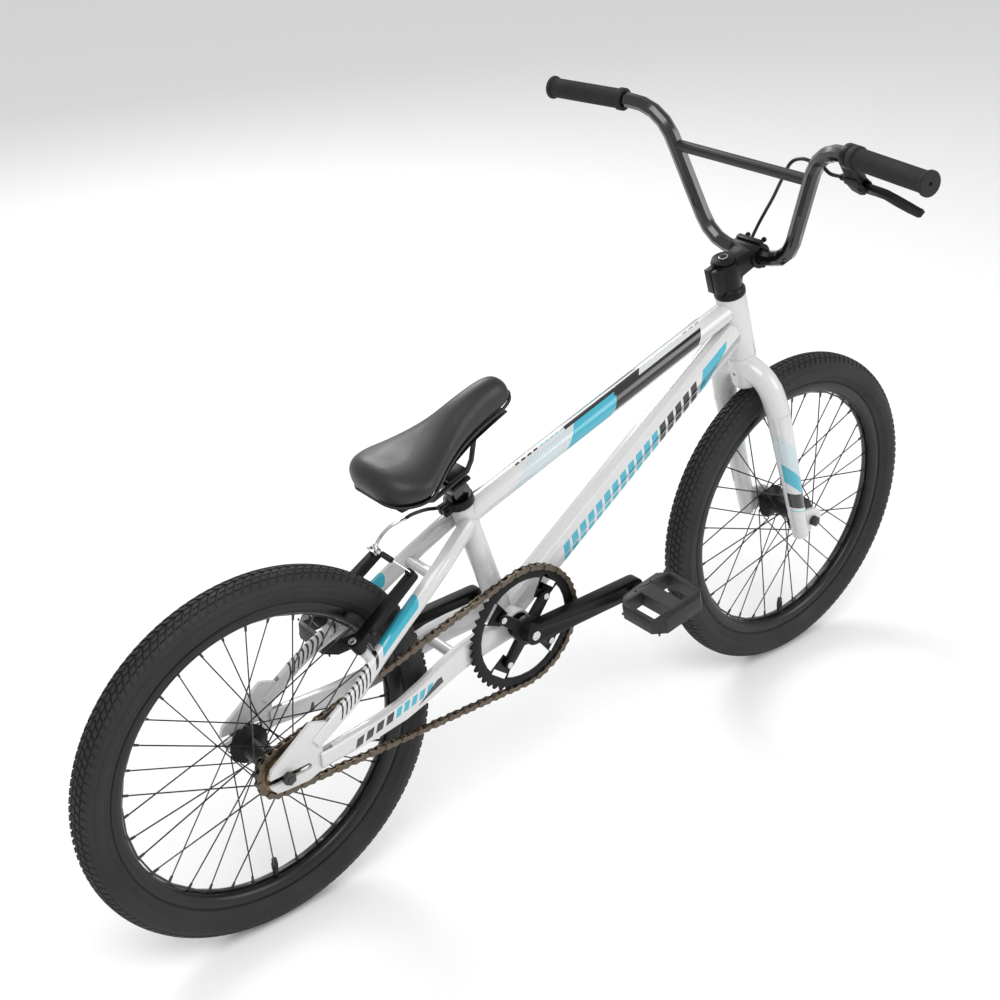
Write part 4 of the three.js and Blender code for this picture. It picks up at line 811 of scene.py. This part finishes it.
def make_valve(end, centre, body):
    """A tyre valve with its ribbed black cap, pointing at the hub."""
    foot = centre - Vector((0, 0, RIM_INNER + 0.002))
    up = Vector((0, 0, 1))
    parts = [rod(foot, foot + up * 0.012, 0.0038, 16, 0.0004)]
    cap = rod(foot + up * 0.010, foot + up * 0.028, 0.0043, 14, 0.0008, 0.0036)
    parts.append(cap)
    for count in range(7):
        angle = count * FULL_TURN / 7
        spot = foot + Vector((math.cos(angle) * 0.0040, math.sin(angle) * 0.0040, 0.0125))
        parts.append(rod(spot, spot + up * 0.009, 0.0006, 6))
    dress(join_pieces(parts), f"{end}_tyre_valve", body, "plastic")


for end, (centre, body) in WHEELS.items():
    make_tyre(end, centre, body)
    make_rim(end, centre, body)
    make_nipples(end, centre, body)
    make_valve(end, centre, body)


# ---------------------------------------------------------------- chain

PLATE_WIDTH = 0.0085
PLATE_THICKNESS = 0.001
WAIST = 0.68
OUTER_PLATE_Y = 0.0036
INNER_PLATE_Y = 0.0023


def chain_route():
    """Pin places round the chainring and freewheel, one pitch apart, anticlockwise seen from the right."""
    big, small = CHAINRING_PITCH_RADIUS, FREEWHEEL_PITCH_RADIUS
    a, b = Vector((REAR_AXLE.x, REAR_AXLE.z)), Vector((CRANK_AXIS.x, CRANK_AXIS.z))
    gap = b - a
    lean = math.atan2(gap.y, gap.x)
    spread = math.acos((small - big) / gap.length)
    top, bottom = lean + spread, lean - spread
    path = []
    for step in range(121):
        angle = top - (top - bottom) * step / 120
        path.append(b + big * Vector((math.cos(angle), math.sin(angle))))
    for step in range(121):
        angle = bottom - (FULL_TURN - (top - bottom)) * step / 120
        path.append(a + small * Vector((math.cos(angle), math.sin(angle))))
    path.append(path[0])
    lengths = [0.0]
    for one, two in zip(path, path[1:]):
        lengths.append(lengths[-1] + (two - one).length)
    links = round(lengths[-1] / CHAIN_PITCH / 2) * 2
    pins, leg = [], 0
    for count in range(links):
        wanted = lengths[-1] * count / links
        while lengths[leg + 1] < wanted:
            leg += 1
        share = (wanted - lengths[leg]) / max(1e-9, lengths[leg + 1] - lengths[leg])
        pins.append(path[leg].lerp(path[leg + 1], share))
    return [Vector((p.x, CHAIN_Y, p.y)) for p in pins]


def link_plate(pitch):
    """One side plate: two round ends and a narrower waist."""
    radius = PLATE_WIDTH / 2
    outline = []
    for centre, first in ((pitch / 2, -90), (-pitch / 2, 90)):
        for step in range(7):
            angle = math.radians(first + step * 30)
            outline.append((centre + math.cos(angle) * radius, math.sin(angle) * radius))
        side = 1 if first < 0 else -1
        outline.append((0.0, side * radius * WAIST))
    points = [(x, y, z) for y in (-PLATE_THICKNESS / 2, PLATE_THICKNESS / 2) for x, z in outline]
    count = len(outline)
    faces = [tuple(range(count)), tuple(range(2 * count - 1, count - 1, -1))]
    faces += [(i, (i + 1) % count, (i + 1) % count + count, i + count) for i in range(count)]
    plate = mesh_object("plate", points, faces)
    close_mesh(plate)
    return plate


def make_chain():
    pins = chain_route()
    plate = link_plate(CHAIN_PITCH)
    roller = rod((0, -0.0042, 0), (0, 0.0042, 0), 0.0018, 10)
    barrel = rod((0, -0.0016, 0), (0, 0.0016, 0), 0.0036, 12)
    made = []
    for i, pin in enumerate(pins):
        after = pins[(i + 1) % len(pins)]
        middle = (pin + after) / 2
        span = after - pin
        turn = Matrix.Rotation(-math.atan2(span.z, span.x), 4, "Y")
        offset = OUTER_PLATE_Y if i % 2 else INNER_PLATE_Y
        for side in (1, -1):
            place = Matrix.Translation(middle + Vector((0, side * offset, 0)))
            made.append(turned_copy(plate, place @ turn))
        made.append(turned_copy(roller, Matrix.Translation(pin)))
        made.append(turned_copy(barrel, Matrix.Translation(pin)))
    for pattern in (plate, roller, barrel):
        bpy.data.objects.remove(pattern)
    dress(join_pieces(made), "roller_chain", "frame", "chain steel", ["chain"], 40)


make_chain()


# ---------------------------------------------------------------- saddle

SADDLE_FOOT = Vector((-0.166, 0, 0.5245))
SADDLE_TILT = math.radians(19)
SADDLE_LENGTH = 231.0
SADDLE_REAR = -113.2
SADDLE_HALF_WIDTH = 68.0
# Share of the length from the rear, share of the half width, underside and crown heights in millimetres.
SADDLE_STATIONS = [
    (0.0, 0.30, 64, 78),
    (0.015, 0.52, 57, 86),
    (0.05, 0.76, 52.7, 93),
    (0.1, 0.90, 49.7, 96),
    (0.16, 0.99, 46.7, 93),
    (0.23, 1.0, 45.7, 89),
    (0.3, 0.88, 47.7, 87),
    (0.38, 0.74, 51.7, 86.5),
    (0.47, 0.60, 52.7, 87.5),
    (0.57, 0.46, 52.7, 91),
    (0.68, 0.37, 52.7, 96),
    (0.8, 0.325, 52.7, 97.5),
    (0.9, 0.31, 52.7, 96),
    (0.96, 0.26, 54.7, 91),
    (0.985, 0.19, 57, 84),
    (1.0, 0.09, 63, 76),
]
SADDLE_RING = 40


def saddle_matrix():
    return Matrix.Translation(SADDLE_FOOT) @ Matrix.Rotation(-SADDLE_TILT, 4, "Y")


def make_saddle_cover():
    """A crowned cover that rolls over the edge to a tucked lower hem."""
    points, faces = [], []
    rows = []
    for i, station in enumerate(SADDLE_STATIONS[:-1]):
        nearer = SADDLE_STATIONS[i + 1]
        steps = 3
        for step in range(steps):
            t = step / steps
            rows.append([a + (b - a) * t for a, b in zip(station, nearer)])
    rows.append(list(SADDLE_STATIONS[-1]))
    for _ in range(2):
        threes = zip(rows, rows[1:], rows[2:])
        inner = [[(a + 2 * b + c) / 4 for a, b, c in zip(*three)] for three in threes]
        rows = [rows[0]] + inner + [rows[-1]]
    for share, width, low, high in rows:
        x = SADDLE_REAR + share * SADDLE_LENGTH
        half = width * SADDLE_HALF_WIDTH
        middle = low + (high - low) * 0.42
        for step in range(SADDLE_RING):
            angle = FULL_TURN * step / SADDLE_RING
            c, s = math.cos(angle), math.sin(angle)
            power_y = 0.86 if s > 0 else 0.7
            y = half * math.copysign(abs(c) ** power_y, c)
            rise = (high - middle) if s > 0 else (middle - low)
            z = middle + rise * math.copysign(abs(s) ** (1.0 if s > 0 else 0.72), s)
            points.append(Vector((x, y, z)) * MM)
    count = len(rows)
    for i in range(count - 1):
        for step in range(SADDLE_RING):
            after = (step + 1) % SADDLE_RING
            a, b = i * SADDLE_RING, (i + 1) * SADDLE_RING
            faces.append((a + step, a + after, b + after, b + step))
    faces.append(tuple(range(SADDLE_RING - 1, -1, -1)))
    faces.append(tuple((count - 1) * SADDLE_RING + step for step in range(SADDLE_RING)))
    cover = mesh_object("saddle_cover", points, faces)
    close_mesh(cover)
    apply_modifier(cover, "SUBSURF", levels=1, render_levels=1)
    cover.data.transform(saddle_matrix())
    dress(cover, "saddle_cover", "saddle", "vinyl", ["saddle_pad"], 70)
    return rows


def make_saddle_hem(rows):
    """The moulded rim under the cover's edge."""
    ring = []
    for side in (1, -1):
        ordered = rows if side > 0 else list(reversed(rows))
        for share, width, low, high in ordered[1:-1]:
            x = SADDLE_REAR + share * SADDLE_LENGTH
            ring.append(Vector((x, side * width * SADDLE_HALF_WIDTH * 0.9, low + 2.0)) * MM)
    ring.append(ring[0])
    hem = tube_along([saddle_matrix() @ p for p in smooth_route(ring, 2)], 0.0022, 8)
    dress(hem, "saddle_hem", "saddle", "plastic", (), 60)


make_saddle_hem(make_saddle_cover())


# ---------------------------------------------------------------- grips

GRIP_RIBS = 30
GRIP_BORE = 0.0115
GRIP_FLANGE = 0.0165
RIB_FOOT = 0.0134
RIB_TOP = 0.0140


def make_grip(side):
    """A rubber grip with an inner collar, a ribbed middle and an outer flange."""
    node = "grip_left" if side > 0 else "grip_right"
    near = steering_point(56.1, side * 206.6, 648.7)
    far = steering_point(36.6, side * 335, 653.3)
    axis = (far - near).normalized()
    length = (far - near).length + 0.004
    outline = [(GRIP_BORE, 0.0), (0.0155, 0.0), (0.016, 0.0008)]
    outline += [(0.016, 0.0085), (0.0155, 0.0092), (0.0138, 0.0095)]
    start, stop = 0.012, length - 0.006
    pitch = (stop - start) / GRIP_RIBS
    for rib in range(GRIP_RIBS):
        z = start + rib * pitch
        outline += [(RIB_FOOT, z), (RIB_TOP, z + pitch * 0.25)]
        outline += [(RIB_TOP, z + pitch * 0.62), (RIB_FOOT, z + pitch * 0.85)]
    outline += [(0.0138, stop + 0.0002), (0.0160, stop + 0.0008)]
    outline += [(GRIP_FLANGE, stop + 0.0018), (GRIP_FLANGE, length - 0.0012)]
    outline += [(0.0158, length), (0.0028, length), (0.0024, length - 0.0012), (0.0024, length - 0.003)]
    outline += [(0.0100, length - 0.0032), (GRIP_BORE, length - 0.0034)]
    grip = spun(outline, near, axis, 40)
    dress(grip, f"{node}_sleeve", "steering", "grip rubber", [node], 32)


def steering_point(x, y, z):
    """A point given along and across the steering axis, in millimetres, as a row point."""
    sine, cosine = math.sin(HEAD_ANGLE), math.cos(HEAD_ANGLE)
    return STEERER_FOOT + Vector((x * sine - z * cosine, y, x * cosine + z * sine)) * MM


for side in (1, -1):
    make_grip(side)


# ---------------------------------------------------------------- brake cable housing

LEVER_ORIGIN = Vector((0.3267, -0.1849, 0.8824))
LEVER_X = Vector((0.5592, 0, -0.829))
LEVER_Z = Vector((0.829, 0, 0.5592))
STAY_X = Vector((0.8384, 0, 0.5451))
STAY_Z = Vector((-0.5451, 0, 0.8384))
HOUSING_RADIUS = 0.0025
ROUTE_STEPS = 8


def lever_point(x, y, z):
    return LEVER_ORIGIN + (LEVER_X * x + Vector((0, y, 0)) + LEVER_Z * z) * MM


def stay_point(x, y, z):
    return REAR_AXLE + (STAY_X * x + Vector((0, y, 0)) + STAY_Z * z) * MM


def top_tube_point(share):
    """A point beside the top tube's upper left, at a share of its length."""
    foot, end = Vector((-0.1477, 0, 0.4674)), Vector((0.3388, 0, 0.6248))
    return foot.lerp(end, share) + Vector((0, 0.0194, 0.002))


FRONT_ROUTE = [lever_point(48, 20.3, 0), lever_point(48, 38, 0), lever_point(44, 54, 5)] + [
    steering_point(*place)
    for place in (
        (76, -116, 612),
        (76, -97, 612),
        (77, -76, 600),
        (79, -52, 567),
        (81, -30, 535),
        (83, -6, 503),
        (82, 13, 475),
        (77, 28, 446),
        (62, 35, 410),
        (46, 33, 374),
        (37, 26, 343),
        (27, 27, 326),
        (8, 31, 326),
        (-12, 28, 347),
        (-30, 23, 378),
        (-44, 20, 396),
    )
]
TUBE_ROUTE = [top_tube_point(share) for share in (0.82, 0.62, 0.42, 0.22, 0.1)]
REAR_ROUTE = [
    Vector((-0.1548, 0.0198, 0.4769)),
    stay_point(365, 16, 43),
    stay_point(347, 15, 57),
    stay_point(338, 15, 61),
]


def make_housing():
    """The housing in three pieces, cut where it starts and stops lying on the top tube."""
    route = smooth_route(FRONT_ROUTE + TUBE_ROUTE + REAR_ROUTE, ROUTE_STEPS)
    first_cut = ROUTE_STEPS * len(FRONT_ROUTE)
    second_cut = ROUTE_STEPS * (len(FRONT_ROUTE) + len(TUBE_ROUTE) - 1)
    front = tube_along(route[: first_cut + 1], HOUSING_RADIUS)
    middle = tube_along(route[first_cut : second_cut + 1], HOUSING_RADIUS)
    rear = tube_along(route[second_cut:], HOUSING_RADIUS)
    names = {
        "housing_at_the_bars": front,
        "housing_on_the_tube": middle,
        "housing_at_the_brake": rear,
    }
    for name, piece in names.items():
        piece.name = name
        piece.data.name = name
        piece.data.materials.append(FINISH["housing"])
        soften(piece, 60)
    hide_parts("brake_housing")
    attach(middle, "frame")
    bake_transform(front)
    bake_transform(rear)


make_housing()


# ---------------------------------------------------------------- bolts, pins and the link boot

CHAINRING_BOLT_CIRCLE = 0.052
CHAINRING_BOLT_FIRST = math.radians(51)
SPIDER_FACE_Y = -0.0552
CRANK_FACE_Y = 0.0712
PEDAL_PIN_X = (-0.042, -0.014, 0.014, 0.042)
PEDAL_PIN_Y = (0.087, 0.159)
PEDAL_HALF_THICKNESS = 0.0113
PEDAL_TILT = math.radians(10)
PEDAL_AXLE_X = {"right": 0.0896, "left": -0.2744}
BOSS_ALONG_STAY = 174
BOSS_SPREAD = 43
BOOT_RIBS = 6


def make_chainring_bolts():
    made = []
    for count in range(4):
        angle = CHAINRING_BOLT_FIRST + count * math.pi / 2
        spot = Vector((math.cos(angle), 0, math.sin(angle))) * CHAINRING_BOLT_CIRCLE
        head = CRANK_AXIS + spot + Vector((0, SPIDER_FACE_Y, 0))
        made.append(socket_bolt(head, (0, -1, 0), 0.0046, 0.0012))
    dress(join_pieces(made), "chainring_bolts", "crankset", "bright steel")


def make_crank_bolts():
    made = []
    for side in (1, -1):
        head = CRANK_AXIS + Vector((0, side * CRANK_FACE_Y, 0))
        made.append(socket_bolt(head, (0, side, 0), 0.0068, 0.0018))
    dress(join_pieces(made), "crank_bolts", "crankset", "bright steel")


def make_pedal_pins(name, side, tilt):
    """Short grip pins along both edges of a pedal, above and below."""
    made = []
    for x in PEDAL_PIN_X:
        for y in PEDAL_PIN_Y:
            for up in (1, -1):
                foot = Vector((x, side * y, up * PEDAL_HALF_THICKNESS * 0.9))
                made.append(rod(foot, foot + Vector((0, 0, up * 0.0028)), 0.0016, 8, 0.0, 0.0011))
    pins = join_pieces(made)
    place = Matrix.Translation((PEDAL_AXLE_X[name], 0, CRANK_AXIS.z))
    pins.data.transform(place @ Matrix.Rotation(tilt, 4, "Y"))
    dress(pins, f"pedal_pins_{name}", f"pedal_{name}", "plastic")


def make_brake_bolts(name, side):
    spot = stay_point(BOSS_ALONG_STAY, side * BOSS_SPREAD, 47)
    bolt = socket_bolt(spot, STAY_Z, 0.0055, 0.0026)
    dress(bolt, f"brake_pivot_bolt_{name}", f"brake_arm_{name}", "bright steel")


def make_link_boot():
    """A ribbed rubber boot on the wire beside the noodle."""
    start = stay_point(284, 17, 50.5)
    length = 0.022
    outline = [(0.0016, 0.0), (0.0036, 0.0)]
    pitch = length / BOOT_RIBS
    for rib in range(BOOT_RIBS):
        at = rib * pitch
        outline += [(0.0040, at + pitch * 0.25), (0.0042, at + pitch * 0.5), (0.0034, at + pitch * 0.9)]
    outline += [(0.0024, length), (0.0016, length)]
    boot = spun(outline, start, (0, -1, 0), 20)
    dress(boot, "link_boot", "brake_arm_left", "grip rubber")


def make_stem_bolts():
    """The top cap's bright ring and bolt, and the four bolts of the bar clamp."""
    up = (steering_point(0, 0, 1) - steering_point(0, 0, 0)).normalized()
    ahead = (steering_point(1, 0, 0) - steering_point(0, 0, 0)).normalized()
    cap = socket_bolt(steering_point(0, 0, 476.4), up, 0.0068, 0.0026)
    dress(cap, "top_cap_bolt", "steering", "bright steel")
    made = []
    for height in (-15, 15):
        for y in (-15, 15):
            made.append(socket_bolt(steering_point(64, y, 457.6 + height), ahead, 0.0036, 0.004))
    dress(join_pieces(made), "bar_clamp_bolts", "steering", "black metal")


make_chainring_bolts()
make_crank_bolts()
make_pedal_pins("right", -1, -PEDAL_TILT)
make_pedal_pins("left", 1, 0.0)
make_brake_bolts("left", 1)
make_brake_bolts("right", -1)
make_link_boot()
make_stem_bolts()


# ---------------------------------------------------------------- studio

CAMERA_PLACE = Vector((-1.2331, -1.4487, 1.4487))
CAMERA_RIGHT = Vector((0.77476657, -0.63156457, -0.02937597))
CAMERA_DOWN = Vector((-0.31656234, -0.34728254, -0.8827135))
CAMERA_AHEAD = Vector((0.54728881, 0.69319624, -0.46899246))
LENS = 57.54


def make_camera():
    data = bpy.data.cameras.new("camera")
    data.lens = LENS
    data.sensor_width = 36.0
    data.clip_start = 0.05
    data.clip_end = 60
    camera = bpy.data.objects.new("camera", data)
    bpy.context.collection.objects.link(camera)
    matrix = Matrix((CAMERA_RIGHT, -CAMERA_DOWN, -CAMERA_AHEAD)).transposed().to_4x4()
    camera.matrix_world = Matrix.Translation(CAMERA_PLACE) @ matrix
    bpy.context.scene.camera = camera


def make_light(name, place, aim, size, power):
    data = bpy.data.lights.new(name, "AREA")
    data.shape = "DISK"
    data.size = size
    data.energy = power
    lamp = bpy.data.objects.new(name, data)
    bpy.context.collection.objects.link(lamp)
    lamp.location = place
    lamp.rotation_euler = (Vector(aim) - Vector(place)).to_track_quat("-Z", "Y").to_euler()


def make_floor():
    bpy.ops.mesh.primitive_plane_add(size=40, location=(0, 0, 0))
    floor = bpy.context.object
    floor.name = "studio_floor"
    pale = plain_finish("pale floor", grey(0.88), grey(0.90), (0.8, 0.9), 0.0, 40.0, 0.0)
    floor.data.materials.append(pale)


def make_world():
    world = bpy.data.worlds.new("studio")
    world.use_nodes = True
    world.node_tree.nodes["Background"].inputs[0].default_value = (1, 1, 1, 1)
    world.node_tree.nodes["Background"].inputs[1].default_value = 0.7
    bpy.context.scene.world = world


clear_selection()
make_camera()
make_floor()
make_world()
make_light("key", (-1.6, -1.2, 3.2), (0, 0, 0.4), 2.2, 55)
make_light("fill", (1.8, -2.6, 1.8), (0, 0, 0.4), 2.0, 35)
make_light("rim", (0.8, 2.6, 2.4), (0, 0, 0.5), 1.6, 45)
bpy.context.scene.view_settings.view_transform = "Standard"
